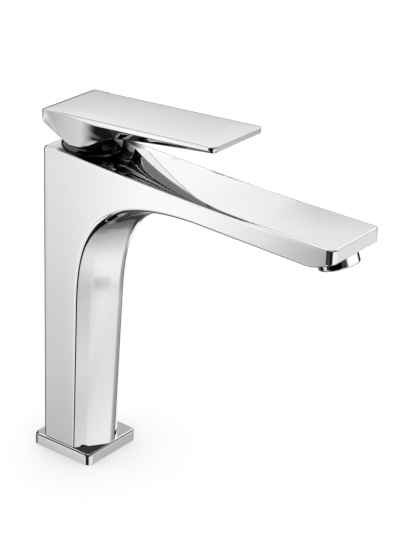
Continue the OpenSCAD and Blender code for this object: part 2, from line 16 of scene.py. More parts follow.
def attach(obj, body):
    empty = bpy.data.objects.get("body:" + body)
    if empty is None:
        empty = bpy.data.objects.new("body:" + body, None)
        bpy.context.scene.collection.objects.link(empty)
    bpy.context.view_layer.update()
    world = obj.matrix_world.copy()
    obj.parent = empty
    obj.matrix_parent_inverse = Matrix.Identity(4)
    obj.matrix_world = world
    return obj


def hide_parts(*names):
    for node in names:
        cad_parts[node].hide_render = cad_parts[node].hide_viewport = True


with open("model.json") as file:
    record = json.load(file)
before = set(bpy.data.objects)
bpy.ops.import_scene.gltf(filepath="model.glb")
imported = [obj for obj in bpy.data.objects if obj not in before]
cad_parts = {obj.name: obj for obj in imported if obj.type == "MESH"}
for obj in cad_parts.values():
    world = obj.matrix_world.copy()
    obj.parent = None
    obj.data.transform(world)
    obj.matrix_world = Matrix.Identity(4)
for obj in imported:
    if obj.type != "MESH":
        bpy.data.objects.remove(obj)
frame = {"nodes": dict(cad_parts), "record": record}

LOG = logging.getLogger("mixer")
MM = 0.001
Point2 = tuple[float, float]
Point3 = tuple[float, float, float]
Stops = tuple[tuple[float, float], ...]
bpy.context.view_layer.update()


# ------------------------------------------------------------------ finishes


class Grain(Enum):
    """How a surface was worked, which sets the scale and direction of its fine marks."""

    POLISHED = "polished"
    TURNED = "turned"
    DRAWN = "drawn"
    MOULDED = "moulded"
    LAPPED = "lapped"


class Graph:
    """A shader node tree with short calls for the nodes that the finishes and the studio share."""

    def __init__(self, tree: bpy.types.NodeTree) -> None:
        """Empties the tree.

        Args:
            tree: the node tree of a material or a world.
        """
        self.tree = tree
        tree.nodes.clear()

    def node(self, kind: str, **settings: object) -> bpy.types.Node:
        """Adds a node.

        Args:
            kind: the node's type name without its "ShaderNode" start.
            settings: attributes to set on it.

        Returns:
            The new node.
        """
        made = self.tree.nodes.new("ShaderNode" + kind)
        for key, value in settings.items():
            setattr(made, key, value)
        return made

    def link(self, source: bpy.types.NodeSocket, target: bpy.types.NodeSocket) -> None:
        """Joins an output to an input."""
        self.tree.links.new(source, target)

    def feed(self, target: bpy.types.NodeSocket, value: object) -> None:
        """Sets an input to a constant or joins it to an output.

        Args:
            target: the input.
            value: a constant or an output.
        """
        if isinstance(value, bpy.types.NodeSocket):
            self.link(value, target)
        else:
            target.default_value = value

    def math(self, operation: str, *values: object, clamp: bool = False) -> bpy.types.NodeSocket:
        """Adds a Math node.

        Args:
            operation: the node's operation.
            values: its inputs, constants or outputs.
            clamp: whether the result is kept between 0 and 1.

        Returns:
            The node's output.
        """
        made = self.node("Math", operation=operation, use_clamp=clamp)
        for socket, value in zip(made.inputs, values):
            self.feed(socket, value)
        return made.outputs[0]

    def ramp(self, value: object, low: float, high: float, to_low: float, to_high: float,
             smooth: bool = False) -> bpy.types.NodeSocket:
        """Maps one range of numbers onto another, held at its ends.

        Args:
            value: the number or output to map.
            low: the value that gives to_low.
            high: the value that gives to_high.
            to_low: the result at low and on its far side.
            to_high: the result at high and on its far side.
            smooth: whether the change eases in and out.

        Returns:
            The node's output.
        """
        made = self.node("MapRange", interpolation_type="SMOOTHSTEP" if smooth else "LINEAR")
        for name, number in (("From Min", low), ("From Max", high), ("To Min", to_low), ("To Max", to_high)):
            made.inputs[name].default_value = number
        self.feed(made.inputs["Value"], value)
        return made.outputs["Result"]

    def steps(self, value: object, stops: Sequence[Point2]) -> bpy.types.NodeSocket:
        """Turns a share from 0 to 1 into a brightness, straight between the given stops.

        Args:
            value: the share from 0 to 1.
            stops: pairs of a share and a brightness, in rising order.

        Returns:
            The brightness.
        """
        made = self.node("ValToRGB")
        marks = made.color_ramp.elements
        while len(marks) < len(stops):
            marks.new(1.0)
        for mark, (place, _) in zip(marks, stops):
            mark.position = place
        for mark, (_, level) in zip(marks, stops):
            mark.color = (level, level, level, 1.0)
        self.feed(made.inputs["Fac"], value)
        return made.outputs["Color"]


@dataclass(frozen=True)
class Finish:
    """One surface finish, made from noise in the object's own space."""

    name: str
    color: Point3
    metallic: float
    roughness: tuple[float, float]
    grain: Grain
    tint: float = 0.04
    bump: float = 0.0
    specular: float = 0.5
    coat: float = 0.0
    # Painted shade round the lever's axis: the axis's x, and the radii where the shade is full and where it
    # is gone, in mm.
    painted_shade: tuple[float, float, float] | None = None

    MARK_DETAIL = 5.0
    PATCH_SCALE = 22.0
    PATCH_DETAIL = 2.0
    NOISE_SPAN = (0.3, 0.7)
    # The near-black colour of the painted shade.
    PAINTED_SHADE_COLOR = (0.015, 0.015, 0.016, 1.0)
    # Where the painted shade fades out across, along and up the body.
    PAINTED_SHADE_Y = (22.4 * MM, 21.6 * MM)
    PAINTED_SHADE_X = (-7 * MM, -4 * MM)
    PAINTED_SHADE_Z = (190 * MM, 195 * MM)
    STRETCH = {
        Grain.POLISHED: (60.0, 60.0, 60.0),
        Grain.TURNED: (40.0, 40.0, 2600.0),
        Grain.DRAWN: (900.0, 900.0, 30.0),
        Grain.MOULDED: (700.0, 700.0, 700.0),
        Grain.LAPPED: (300.0, 300.0, 300.0),
    }

    def painted_shade_mask(self, graph: Graph, place: bpy.types.NodeSocket) -> bpy.types.NodeSocket:
        """Where shade is painted on the casting: the bore, which is also unpolished, and the polished dish's
        floor round it, under the lever.

        Args:
            graph: the material's node tree.
            place: the point in the object's own space, in metres.

        Returns:
            A mask that is 1 where the shade is painted.
        """
        axis_x, full, none = (v * MM for v in self.painted_shade)
        parts = graph.node("SeparateXYZ")
        graph.link(place, parts.inputs[0])
        x, y, z = parts.outputs
        dx = graph.math("SUBTRACT", x, axis_x)
        square = graph.math("ADD", graph.math("MULTIPLY", dx, dx), graph.math("MULTIPLY", y, y))
        far = graph.math("SQRT", square)
        mask = graph.ramp(far, full, none, 1.0, 0.0, True)
        for value, (low, high) in ((graph.math("ABSOLUTE", y), self.PAINTED_SHADE_Y), (x, self.PAINTED_SHADE_X), (z, self.PAINTED_SHADE_Z)):
            mask = graph.math("MULTIPLY", mask, graph.ramp(value, low, high, 0.0, 1.0))
        return mask

    def build(self) -> bpy.types.Material:
        """Makes the material.

        Returns:
            A material whose colour, roughness and bump vary by the finish's grain, with painted shade where
            the finish has it.
        """
        material = bpy.data.materials.new(self.name)
        material.use_nodes = True
        graph = Graph(material.node_tree)
        shader = graph.node("BsdfPrincipled")
        output = graph.node("OutputMaterial")
        graph.link(shader.outputs["BSDF"], output.inputs["Surface"])
        shader.inputs["Metallic"].default_value = self.metallic
        shader.inputs["Specular IOR Level"].default_value = self.specular
        shader.inputs["Coat Weight"].default_value = self.coat
        place = graph.node("TexCoord").outputs["Object"]
        mapping = graph.node("Mapping")
        graph.link(place, mapping.inputs["Vector"])
        mapping.inputs["Scale"].default_value = self.STRETCH[self.grain]
        marks = graph.node("TexNoise")
        marks.inputs["Scale"].default_value = 1.0
        marks.inputs["Detail"].default_value = self.MARK_DETAIL
        graph.link(mapping.outputs["Vector"], marks.inputs["Vector"])
        patches = graph.node("TexNoise")
        patches.inputs["Scale"].default_value = self.PATCH_SCALE
        patches.inputs["Detail"].default_value = self.PATCH_DETAIL
        graph.link(place, patches.inputs["Vector"])
        both = graph.math("MULTIPLY_ADD", marks.outputs["Fac"], 0.5,
                          graph.math("MULTIPLY", patches.outputs["Fac"], 0.5))
        graph.link(graph.ramp(both, *self.NOISE_SPAN, *self.roughness), shader.inputs["Roughness"])
        shades = graph.node("Mix", data_type="RGBA")
        graph.link(graph.ramp(both, *self.NOISE_SPAN, 0.0, 1.0), shades.inputs["Factor"])
        shades.inputs["A"].default_value = (*self.color, 1.0)
        shades.inputs["B"].default_value = (*[c * (1.0 - self.tint) for c in self.color], 1.0)
        color = shades.outputs["Result"]
        # Painted shade: the colour is mixed towards near black round the lever's axis.
        if self.painted_shade:
            dark = graph.node("Mix", data_type="RGBA")
            graph.link(self.painted_shade_mask(graph, place), dark.inputs["Factor"])
            graph.link(color, dark.inputs["A"])
            dark.inputs["B"].default_value = self.PAINTED_SHADE_COLOR
            color = dark.outputs["Result"]
        graph.link(color, shader.inputs["Base Color"])
        if self.bump:
            bump = graph.node("Bump")
            bump.inputs["Strength"].default_value = 1.0
            bump.inputs["Distance"].default_value = self.bump * MM
            graph.link(marks.outputs["Fac"], bump.inputs["Height"])
            graph.link(bump.outputs["Normal"], shader.inputs["Normal"])
        return material


FINISHES: dict[str, Finish] = {
    "chrome": Finish("polished_chrome", (0.90, 0.91, 0.92), 1.0, (0.015, 0.045), Grain.POLISHED, 0.012),
    # The body's chrome, with painted shade on the bore and on the dish's floor under the lever.
    "chrome_body": Finish("polished_casting", (0.90, 0.91, 0.92), 1.0, (0.015, 0.045), Grain.POLISHED, 0.012,
                          painted_shade=(5.0, 24.0, 34.0)),
    # Chrome darkened to near black: painted shade for the cover ring in the gap under the hub.
    "chrome_shade": Finish("chrome_in_painted_shade", (0.07, 0.07, 0.075), 1.0, (0.03, 0.08), Grain.POLISHED, 0.05),
    # Near black for the small parts under the lever: painted shade, not their own finish.
    "painted_shade_black": Finish("painted_shade_black", (0.03, 0.03, 0.032), 0.8, (0.3, 0.45), Grain.TURNED, 0.1, 0.006),
    "brass": Finish("machined_brass", (0.72, 0.50, 0.22), 1.0, (0.22, 0.42), Grain.TURNED, 0.12, 0.01),
    "copper": Finish("drawn_copper", (0.80, 0.44, 0.28), 1.0, (0.18, 0.38), Grain.DRAWN, 0.15, 0.006),
    "steel": Finish("stainless_steel", (0.62, 0.63, 0.65), 1.0, (0.20, 0.38), Grain.DRAWN, 0.08, 0.006),
    "rubber": Finish("black_rubber", (0.018, 0.018, 0.019), 0.0, (0.55, 0.75), Grain.MOULDED, 0.3, 0.02,
                     specular=0.35),
    "ceramic": Finish("lapped_ceramic", (0.86, 0.85, 0.81), 0.0, (0.12, 0.22), Grain.LAPPED, 0.05, 0.002),
    "plastic_light": Finish("pale_acetal", (0.80, 0.79, 0.75), 0.0, (0.32, 0.5), Grain.MOULDED, 0.06, 0.01),
    "plastic_dark": Finish("dark_nylon", (0.045, 0.05, 0.058), 0.0, (0.4, 0.6), Grain.MOULDED, 0.15, 0.012),
    "plastic_red": Finish("red_acetal", (0.55, 0.03, 0.02), 0.0, (0.3, 0.48), Grain.MOULDED, 0.08, 0.01),
    "plastic_green": Finish("green_acetal", (0.11, 0.33, 0.16), 0.0, (0.3, 0.48), Grain.MOULDED, 0.08, 0.01),
}


# ------------------------------------------------------------------ shape tools


def mix(a: float, b: float, t: float) -> float:
    """The number a share t of the way from a to b."""
    return a + (b - a) * t


def clamp01(t: float) -> float:
    """The number t kept between 0 and 1."""
    return min(1.0, max(0.0, t))


def bezier(a: float, b: float, c: float, d: float, t: float) -> float:
    """A cubic curve's coordinate at t."""
    s = 1.0 - t
    return s ** 3 * a + 3 * s * s * t * b + 3 * s * t * t * c + t ** 3 * d


def quarter(radius: float, run: float) -> float:
    """How far a quarter round of this radius has drawn in, run millimetres into it."""
    run = min(max(run, 0.0), radius)
    return radius - math.sqrt(max(radius * radius - run * run, 0.0))


@dataclass
class Corner:
    """A corner of a ring of points that is rounded before the skin is laid.

    The width is measured square to the edge; before and after add reach along the ring's two sides.
    """

    index: int
    width: float
    steps: int = 5
    before: float | np.ndarray = 0.0
    after: float | np.ndarray = 0.0


LEAST_SLANT = 0.35
MOST_REACH = 0.95


def round_corners(rings: np.ndarray, corners: Sequence[Corner]) -> np.ndarray:
    """Replaces sharp corners of every ring by short arcs of an even width along the loft.

    Args:
        rings: points as an array of rings, points a ring and three coordinates.
        corners: the corners to round, by their place in the ring.

    Returns:
        The rings with the arcs in place of the corners.
    """
    count = rings.shape[1]
    at = {corner.index: corner for corner in corners}
    columns: list[np.ndarray] = []
    for j in range(count):
        here = rings[:, j]
        if j not in at:
            columns.append(here)
            continue
        corner = at[j]
        before = rings[:, (j - 1) % count] - here
        after = rings[:, (j + 1) % count] - here
        far_a = np.linalg.norm(before, axis=1)
        far_b = np.linalg.norm(after, axis=1)
        unit_a = before / np.maximum(far_a, 1e-9)[:, None]
        unit_b = after / np.maximum(far_b, 1e-9)[:, None]
        along = np.gradient(here, axis=0)
        along /= np.maximum(np.linalg.norm(along, axis=1), 1e-9)[:, None]
        slant_a = np.linalg.norm(np.cross(along, unit_a), axis=1)
        slant_b = np.linalg.norm(np.cross(along, unit_b), axis=1)
        wide_a = corner.width / np.maximum(slant_a, LEAST_SLANT)
        wide_b = corner.width / np.maximum(slant_b, LEAST_SLANT)
        reach_a = np.minimum(wide_a + corner.before, far_a * MOST_REACH)
        reach_b = np.minimum(wide_b + corner.after, far_b * MOST_REACH)
        start = here + unit_a * reach_a[:, None]
        end = here + unit_b * reach_b[:, None]
        for k in range(corner.steps + 1):
            t = k / corner.steps
            columns.append((1 - t) ** 2 * start + 2 * t * (1 - t) * here + t * t * end)
    return np.stack(columns, axis=1)


class Maker:
    """Makes meshes in millimetres and hangs them on the frame in metres."""

    @staticmethod
    def mesh(name: str, points: np.ndarray, faces: Sequence[Sequence[int]]) -> bpy.types.Object:
        """Makes an object from points and faces.

        Args:
            name: the object's name.
            points: the vertices, in millimetres.
            faces: each face's vertex numbers.

        Returns:
            The new object, linked to the scene.
        """
        data = bpy.data.meshes.new(name)
        data.from_pydata([tuple(p) for p in np.asarray(points) * MM], [], [list(f) for f in faces])
        data.validate()
        tidy = bmesh.new()
        tidy.from_mesh(data)
        bmesh.ops.remove_doubles(tidy, verts=tidy.verts, dist=2e-7)
        bmesh.ops.recalc_face_normals(tidy, faces=tidy.faces)
        tidy.to_mesh(data)
        tidy.free()
        made = bpy.data.objects.new(name, data)
        bpy.context.scene.collection.objects.link(made)
        return made

    @classmethod
    def loft(cls, name: str, rings: np.ndarray) -> bpy.types.Object:
        """Lays a closed skin over equal rings of points, with a flat cap at each end.

        Args:
            name: the object's name.
            rings: an array of rings, points a ring and three coordinates.

        Returns:
            The new object.
        """
        count, size = rings.shape[0], rings.shape[1]
        faces: list[list[int]] = [list(range(size)), [(count - 1) * size + j for j in reversed(range(size))]]
        for i in range(count - 1):
            for j in range(size):
                a, b = i * size + j, i * size + (j + 1) % size
                faces.append([a, a + size, b + size, b])
        return cls.mesh(name, rings.reshape(-1, 3), faces)

    @classmethod
    def lathe(cls, name: str, profile: Sequence[Point2], steps: int = 128) -> bpy.types.Object:
        """Turns a closed profile of (radius, height) points about the Z axis.

        Args:
            name: the object's name.
            profile: the closed profile, in millimetres.
            steps: how many facets a full turn has.

        Returns:
            The new object.
        """
        size = len(profile)
        points, faces = [], []
        for i in range(steps):
            a = 2 * math.pi * i / steps
            points += [(r * math.cos(a), r * math.sin(a), z) for r, z in profile]
            for j in range(size):
                k, m = (i + 1) % steps, (j + 1) % size
                faces.append([i * size + j, k * size + j, k * size + m, i * size + m])
        return cls.mesh(name, np.array(points), faces)

    @classmethod
    def prism(cls, name: str, outline: Sequence[Point2], low: float, high: float) -> bpy.types.Object:
        """Raises a flat outline from one height to another.

        Args:
            name: the object's name.
            outline: the closed outline, in millimetres.
            low: the height of its underside.
            high: the height of its top.

        Returns:
            The new object.
        """
        size = len(outline)
        points = [(x, y, z) for z in (low, high) for x, y in outline]
        faces = [list(range(size)), [size + j for j in range(size)]]
        faces += [[j, (j + 1) % size, size + (j + 1) % size, size + j] for j in range(size)]
        return cls.mesh(name, np.array(points), faces)

    @classmethod
    def rod(cls, name: str, radius: float, low: float, high: float, steps: int = 96) -> bpy.types.Object:
        """A plain round rod along Z, used only to cut others.

        Args:
            name: the object's name.
            radius: the rod's radius.
            low: the height of its underside.
            high: the height of its top.
            steps: how many facets a full turn has.

        Returns:
            The new object.
        """
        outline = [(radius * math.cos(2 * math.pi * i / steps), radius * math.sin(2 * math.pi * i / steps))
                   for i in range(steps)]
        return cls.prism(name, outline, low, high)

    @staticmethod
    def move(piece: bpy.types.Object, matrix: Matrix) -> bpy.types.Object:
        """Moves a piece's mesh, leaving the object at the origin."""
        piece.data.transform(matrix)
        return piece

    @staticmethod
    def cut(piece: bpy.types.Object, *tools: bpy.types.Object) -> None:
        """Takes the tools' shapes out of a piece, then deletes the tools.

        Args:
            piece: the mesh that loses material.
            tools: closed meshes, taken out in this order.
        """
        for tool in tools:
            step = piece.modifiers.new("cut", "BOOLEAN")
            step.operation, step.solver, step.object = "DIFFERENCE", "EXACT", tool
            Maker.apply(piece)
            data = tool.data
            bpy.data.objects.remove(tool)
            bpy.data.meshes.remove(data)

    @staticmethod
    def apply(piece: bpy.types.Object) -> None:
        """Bakes a piece's modifiers into its mesh.

        Args:
            piece: the object whose modifiers end up in its mesh.
        """
        bpy.context.view_layer.update()
        graph = bpy.context.evaluated_depsgraph_get()
        baked = bpy.data.meshes.new_from_object(piece.evaluated_get(graph))
        old = piece.data
        piece.modifiers.clear()
        piece.data = baked
        bpy.data.meshes.remove(old)
        baked.name = piece.name

    @staticmethod
    def smooth(piece: bpy.types.Object, sharp_degrees: float = 24.0) -> None:
        """Shades a piece smooth but for its sharp edges, with its large faces kept flat.

        Args:
            piece: the object to shade.
            sharp_degrees: the angle between faces from which an edge stays sharp.
        """
        data = piece.data
        data.shade_smooth()
        work = bmesh.new()
        work.from_mesh(data)
        limit = math.radians(sharp_degrees)
        for edge in work.edges:
            edge.smooth = len(edge.link_faces) == 2 and edge.calc_face_angle(math.pi) < limit
        work.to_mesh(data)
        work.free()
        weigh = piece.modifiers.new("weigh", "WEIGHTED_NORMAL")
        weigh.keep_sharp = True
        weigh.mode = "FACE_AREA"
        weigh.weight = 60
        Maker.apply(piece)


class Dresser:
    """Gives finishes to pieces and ties the pieces to the frame."""

    # Parts under the lever get darker finishes than their slots give: painted shade.
    IN_SHADE = {"cartridge_nut": "painted_shade_black", "temperature_limiter": "plastic_dark",
                "cartridge_stem": "painted_shade_black", "lever_insert": "painted_shade_black"}

    def __init__(self) -> None:
        """Builds every finish once."""
        self.materials = {slot: finish.build() for slot, finish in FINISHES.items()}
        self.slots = {row["node"]: row["material_slot"] for row in frame["record"]["subparts"]}
        self.replaced: set[str] = set()

    def place(self, piece: bpy.types.Object, body: str, slot: str, node: str,
              finish: str = "") -> bpy.types.Object:
        """Finishes a piece that stands for a CAD node and ties it to its body.

        Args:
            piece: the dressed mesh.
            body: the frame's body that it moves with.
            slot: the record's material slot.
            node: the CAD node that it stands for.
            finish: the finish, where it isn't the slot's own.

        Returns:
            The piece.
        """
        piece.data.materials.clear()
        piece.data.materials.append(self.materials[finish or slot])
        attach(piece, body)
        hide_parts(node)
        self.replaced.add(node)
        LOG.info("%s: %d faces on %s", piece.name, len(piece.data.polygons), body)
        return piece

    def dress_nodes(self) -> None:
        """Gives every CAD node that still shows the finish of its slot, or painted shade where it lies under
        the lever.
        """
        for name, solid in frame["nodes"].items():
            if name in self.replaced:
                continue
            # Painted shade for the parts under the lever.
            finish = self.IN_SHADE.get(name, self.slots[name])
            solid.data.materials.clear()
            solid.data.materials.append(self.materials[finish])
            LOG.info("%s keeps its solid, in %s", name, finish)


# ------------------------------------------------------------------ body and foot

# Tables of the body's front: places along the bend (0 at the column, 1 at the spout), then values.
SWELL_SLOPE = ((0.0, 0.5, 0.57, 0.65, 0.8, 1.0), (0.0, 0.0, 0.35, 0.5, 0.2, 0.0))
CHAMFER_WIDE = ((0.0, 0.2, 0.3, 0.35, 0.4, 0.45, 0.5, 0.55, 0.6, 0.7, 0.85, 1.0),
                (0.018, 0.022, 0.028, 0.038, 0.052, 0.078, 0.12, 0.15, 0.16, 0.17, 0.2, 0.2))
CHAMFER_STEEP = ((0.0, 0.35, 0.4, 0.45, 0.5, 0.55, 0.6, 0.7, 0.8, 1.0),
                 (1.35, 1.3, 1.2, 1.05, 0.85, 0.8, 0.6, 0.3, 0.0, 0.0))
# How far the lower edges' rounds reach onto the side faces: distances along the edge, then reaches.
EDGE_OUT = ((-110.0, 0.0, 15.0, 30.0, 60.0, 100.0), (0.4, 0.6, 1.2, 1.7, 1.3, 0.9))
EDGE_IN = 1.0
EDGE_WIDTH = 0.5
EDGE_STEPS = 7
EDGE_ROUND = 0.55
# Share of the way to the ridge over which the swell runs, and the crown's height and its end.
SWELL_REACH = 0.6
CROWN = 0.13
CROWN_END = 0.6
# Even steps round a ring: the side faces' shares, the ridge's rounding, the scallop and the rim.
SIDE_STEPS = (0.12, 0.5, 0.88)
INNER_POINTS = 33
RIDGE_STEPS = 5
SCALLOP_STEPS = 12
RIM_STEPS = 5
# Angles at which the rings stand in the tip's plan corner.
TIP_ANGLES = (15, 30, 42, 52, 60, 67, 73, 78, 82, 86, 90)


@dataclass
class Body:
    """The cast column and spout, one skin from the foot to the tip."""

    foot_z: float = 8.0
    back: float = 16.7
    rear_round: float = 2.8
    rear_lean: float = 4.0
    foot_half_w: float = 22.0
    side_reach: float = 8.7
    ridge_reach: float = 24.9
    ridge_round: float = 6.0
    deck_z: float = 211.0
    draft_up: float = 0.0045
    draft_out: float = 0.004
    throat_z: float = 112.0
    throat_x: float = 100.0
    throat_side: float = 10.4
    side_pull: tuple[float, float, float] = (0.8, 72.6, 52.6)
    throat_ridge: float = 29.9
    ridge_pull: tuple[float, float, float] = (2.2, 60.7, 48.6)
    keel_drop: float = 6.0
    reach: float = 197.8
    top_z: float = 204.4
    side_h: float = 14.5
    under_fall: float = 2.9
    keel_end: float = 16.0
    face_h: float = 8.6
    tip_corner: float = 4.0
    chin_len: float = 14.5
    chin_round: float = 5.0
    top_fall: float = 0.4
    scallop_x: float = 150.0
    edge_power: float = 1.5
    tongue_edge_r: float = 295.0
    tongue_rise_r: float = 520.0
    dish_depth: float = 3.0
    dish_x: float = -6.0
    dish_ramp: float = 6.0
    dish_fade_x: float = 60.0
    tongue_x: float = 28.5
    tongue_min: float = 0.8
    edge_flat: float = 0.4
    rim_w: float = 1.3
    rear_rim_w: float = 2.2
    rear_rim_run: float = 4.0
    rim_h: float = 0.5
    wall: float = 3.5
    axis_x: float = 5.0
    seat_z: float = 165.0
    floor_t: float = 19.0
    bore_r: float = 18.0
    well_r: float = 20.3
    well_z: float = 207.5

    def half_w(self, x: float, z: float) -> float:
        """Half width of the drafted body at a place on its side faces."""
        return self.foot_half_w + self.draft_up * (z - self.foot_z) + self.draft_out * (x + self.back)

    def ridge_share(self, f: float, w: float) -> float:
        """Share of the way from the side faces to the ridge at a fraction f of the half width."""
        r, a = self.ridge_round / w, abs(f)
        return 1 - a if a > r else 1 - r / 2 - a * a / (2 * r)

    def flat_z(self, x: float) -> float:
        """Height of the spout's flat top."""
        return self.top_z + self.top_fall * clamp01((self.reach - x) / (self.reach - self.scallop_x))

    def tongue_z(self, x: float) -> float:
        """Height of the tongue that rises from the flat top towards the hub."""
        return self.flat_z(x) + max(0.0, self.scallop_x - x) ** 2 / (2 * self.tongue_rise_r)

    def edge_z(self, x: float) -> float:
        """Height of the side faces' upper edge.

        Args:
            x: the distance along the spout.

        Returns:
            The height.
        """
        low = self.flat_z(x) - self.edge_flat / 3
        if x <= self.dish_x:
            return self.deck_z
        if x >= self.scallop_x:
            return low
        rise = self.deck_z - self.flat_z(self.scallop_x) + self.edge_flat / 3
        return low + rise * ((self.scallop_x - x) / (self.scallop_x - self.dish_x)) ** self.edge_power

    def tongue_y(self, x: float, w: float) -> float:
        """Half width of the tongue.

        Args:
            x: the distance along the spout.
            w: the half width inside the rim.

        Returns:
            The half width.
        """
        d = max(0.0, self.scallop_x - x)
        arc = self.tongue_edge_r - math.sqrt(self.tongue_edge_r ** 2 - d * d)
        return max(self.tongue_min, min(w - self.edge_flat - self.rim_w, w - arc))

    def dish_at(self, x: float) -> float:
        """Depth of the dish and the scallops under the side faces' edges."""
        fade = clamp01((self.scallop_x - x) / (self.scallop_x - self.dish_fade_x))
        return self.dish_depth * clamp01((x - self.dish_x) / self.dish_ramp) * fade

    def top_half(self, x: float, inset: float) -> list[Point2]:
        """Half of the top's outline at x, from the side edge to the middle.

        Args:
            x: the distance along the spout.
            inset: how far the plan corner has drawn the side in.

        Returns:
            Points as (y, z): the edge, the scallop, the crease and the tongue.
        """
        ze = self.edge_z(x)
        w = self.half_w(x, ze) - inset
        before = x < self.tongue_x
        yt = self.tongue_min if before else self.tongue_y(x, w)
        floor = ze - self.dish_at(x)
        zt = floor if before else self.tongue_z(x)
        rim_w = mix(self.rear_rim_w, self.rim_w, clamp01((x + self.back) / self.rear_rim_run))
        rim = [(w - rim_w * (1 - math.cos(a)), ze - self.rim_h * (1 - math.sin(a)))
               for a in (math.pi / 2 * i / RIM_STEPS for i in range(RIM_STEPS))]
        w -= rim_w
        g = w - yt
        steps = [1 - i / SCALLOP_STEPS for i in range(SCALLOP_STEPS + 1)]
        line = [(bezier(yt, yt + 0.12 * g, yt + 0.5 * g, w, t),
                 bezier(zt, mix(zt, floor, 0.85), floor, ze, t)) for t in steps]
        return rim + line + [(yt * s, zt) for s in (0.75, 0.5, 0.25, 0.0)]

    def top_line(self, x: float, inset: float = 0.0) -> list[Point2]:
        """The top's outline from the far side to the near side."""
        half = self.top_half(x, inset)
        return half + [(-y, z) for y, z in reversed(half[:-1])]

    def swell(self, share: float, t: float) -> float:
        """How far the front's slanted faces bulge, as a share of the way to the ridge.

        Args:
            share: the way in from the side edge, as a share of the half width.
            t: the place along the bend.

        Returns:
            What is added to the share of the way to the ridge.
        """
        crown = CROWN * (1 - clamp01(t / CROWN_END)) * share * (1 - share)
        u = clamp01(share / SWELL_REACH)
        swell = float(np.interp(t, *SWELL_SLOPE)) * SWELL_REACH * u * (1 - u) ** 2
        wide = self.chamfer(t)
        steep = float(np.interp(t, *CHAMFER_STEEP))
        slope = steep * min(share, wide) * (1.0 if share <= wide else (1 - share) / (1 - wide))
        return crown + swell + slope

    def chamfer(self, t: float) -> float:
        """Width of the strip along the side edge, as a share of the way to the ridge."""
        return float(np.interp(t, *CHAMFER_WIDE))

    def inner_line(self, side: Point2, ridge: Point2, inset: float = 0.0, t: float = 1.0) -> list[Point3]:
        """A ring's inner side, from the near side face over the ridge to the far one.

        Args:
            side: the side faces' place as (x, z).
            ridge: the ridge's place as (x, z).
            inset: how far the plan corner has drawn the side in.
            t: the place along the bend.

        Returns:
            The ring's inner points.
        """
        w = self.half_w(*side) - inset
        r = self.ridge_round / self.foot_half_w
        c = self.chamfer(t)
        edge = [1, 1 - 0.4 * c, 1 - 0.8 * c, 1 - c, 1 - 1.25 * c, 0.73, 0.69, 0.64, 0.56, 0.45, 0.34]
        ridge_part = [r * k / RIDGE_STEPS for k in range(-RIDGE_STEPS, RIDGE_STEPS + 1)]
        fractions = [-f for f in edge] + ridge_part + edge[::-1]
        line = []
        for f in fractions:
            share = self.ridge_share(f, w)
            share += self.swell(1 - abs(f), t)
            line.append((mix(side[0], ridge[0], share), f * w, mix(side[1], ridge[1], share)))
        return line

    def side_at(self, t: float) -> Point2:
        """The side faces' throat curve, from the column at 0 to the spout at 1.

        Args:
            t: the place along the bend.

        Returns:
            The place as (x, z).
        """
        out, back, up = self.side_pull
        flat = self.top_z - self.side_h + self.under_fall
        return (bezier(self.throat_side, self.throat_side + out, self.throat_x - back, self.throat_x, t),
                bezier(self.throat_z, self.throat_z + up, flat, flat, t))

    def ridge_at(self, t: float) -> Point2:
        """The keel's throat curve, from the column at 0 to the spout at 1.

        Args:
            t: the place along the bend.

        Returns:
            The place as (x, z).
        """
        out, back, up = self.ridge_pull
        flat = self.top_z - self.side_h + self.under_fall - self.keel_drop
        return (bezier(self.throat_ridge, self.throat_ridge + out, self.throat_x - back, self.throat_x, t),
                bezier(self.throat_z, self.throat_z + up, flat, flat, t))

    def under_z(self, x: float) -> float:
        """Height of the side faces' lower edge along the straight spout and its chin.

        Args:
            x: the distance along the spout.

        Returns:
            The height.
        """
        chin, tip, r = self.reach - self.chin_len, self.top_z - self.side_h, self.chin_round
        fall = mix(self.under_fall, 0.0, clamp01((x - self.throat_x) / (chin - self.throat_x)))
        run = max(0.0, x - chin + r)
        run = run * run / (4 * r) if run < 2 * r else run - r
        return tip + fall + run * (self.side_h - self.face_h) / self.chin_len

    def keel_z(self, x: float) -> float:
        """Height of the keel, which runs out before the chin."""
        end = self.reach - self.chin_len - self.keel_end
        return self.under_z(x) - self.keel_drop * clamp01((end - x) / (end - self.throat_x))

    def closed(self, inner: list[Point3], outer: list[Point3]) -> list[Point3]:
        """Joins a ring's inner and outer side with points on both side faces.

        Args:
            inner: points from the near side face to the far one, under the body or in front of it.
            outer: points from the far side face back to the near one, over its rear and top.

        Returns:
            The whole ring.
        """
        ring = list(inner)
        a, b = inner[-1], outer[0]
        ring += [tuple(mix(a[i], b[i], t) for i in range(3)) for t in SIDE_STEPS]
        ring += outer
        a, b = outer[-1], inner[0]
        ring += [tuple(mix(a[i], b[i], t) for i in range(3)) for t in SIDE_STEPS]
        return ring

    def rear_line(self, z: float, x: float) -> list[Point3]:
        """The rear face's side of a ring at a height."""
        k = self.half_w(-self.back, z) / self.half_w(-self.back, self.deck_z)
        return [(x + self.rear_lean * (self.deck_z - h), y * k, z) for y, h in self.top_line(-self.back)]

    def rear_len(self) -> float:
        """Length of the rear face over the bend's start."""
        return self.deck_z - self.throat_z

    def bend_inner(self, run: float) -> list[Point3]:
        """A ring's inner side, run millimetres along the skin from the bend's start."""
        t = run / (self.rear_len() + (self.throat_x + self.back))
        return self.inner_line(self.side_at(t), self.ridge_at(t), 0.0, t)

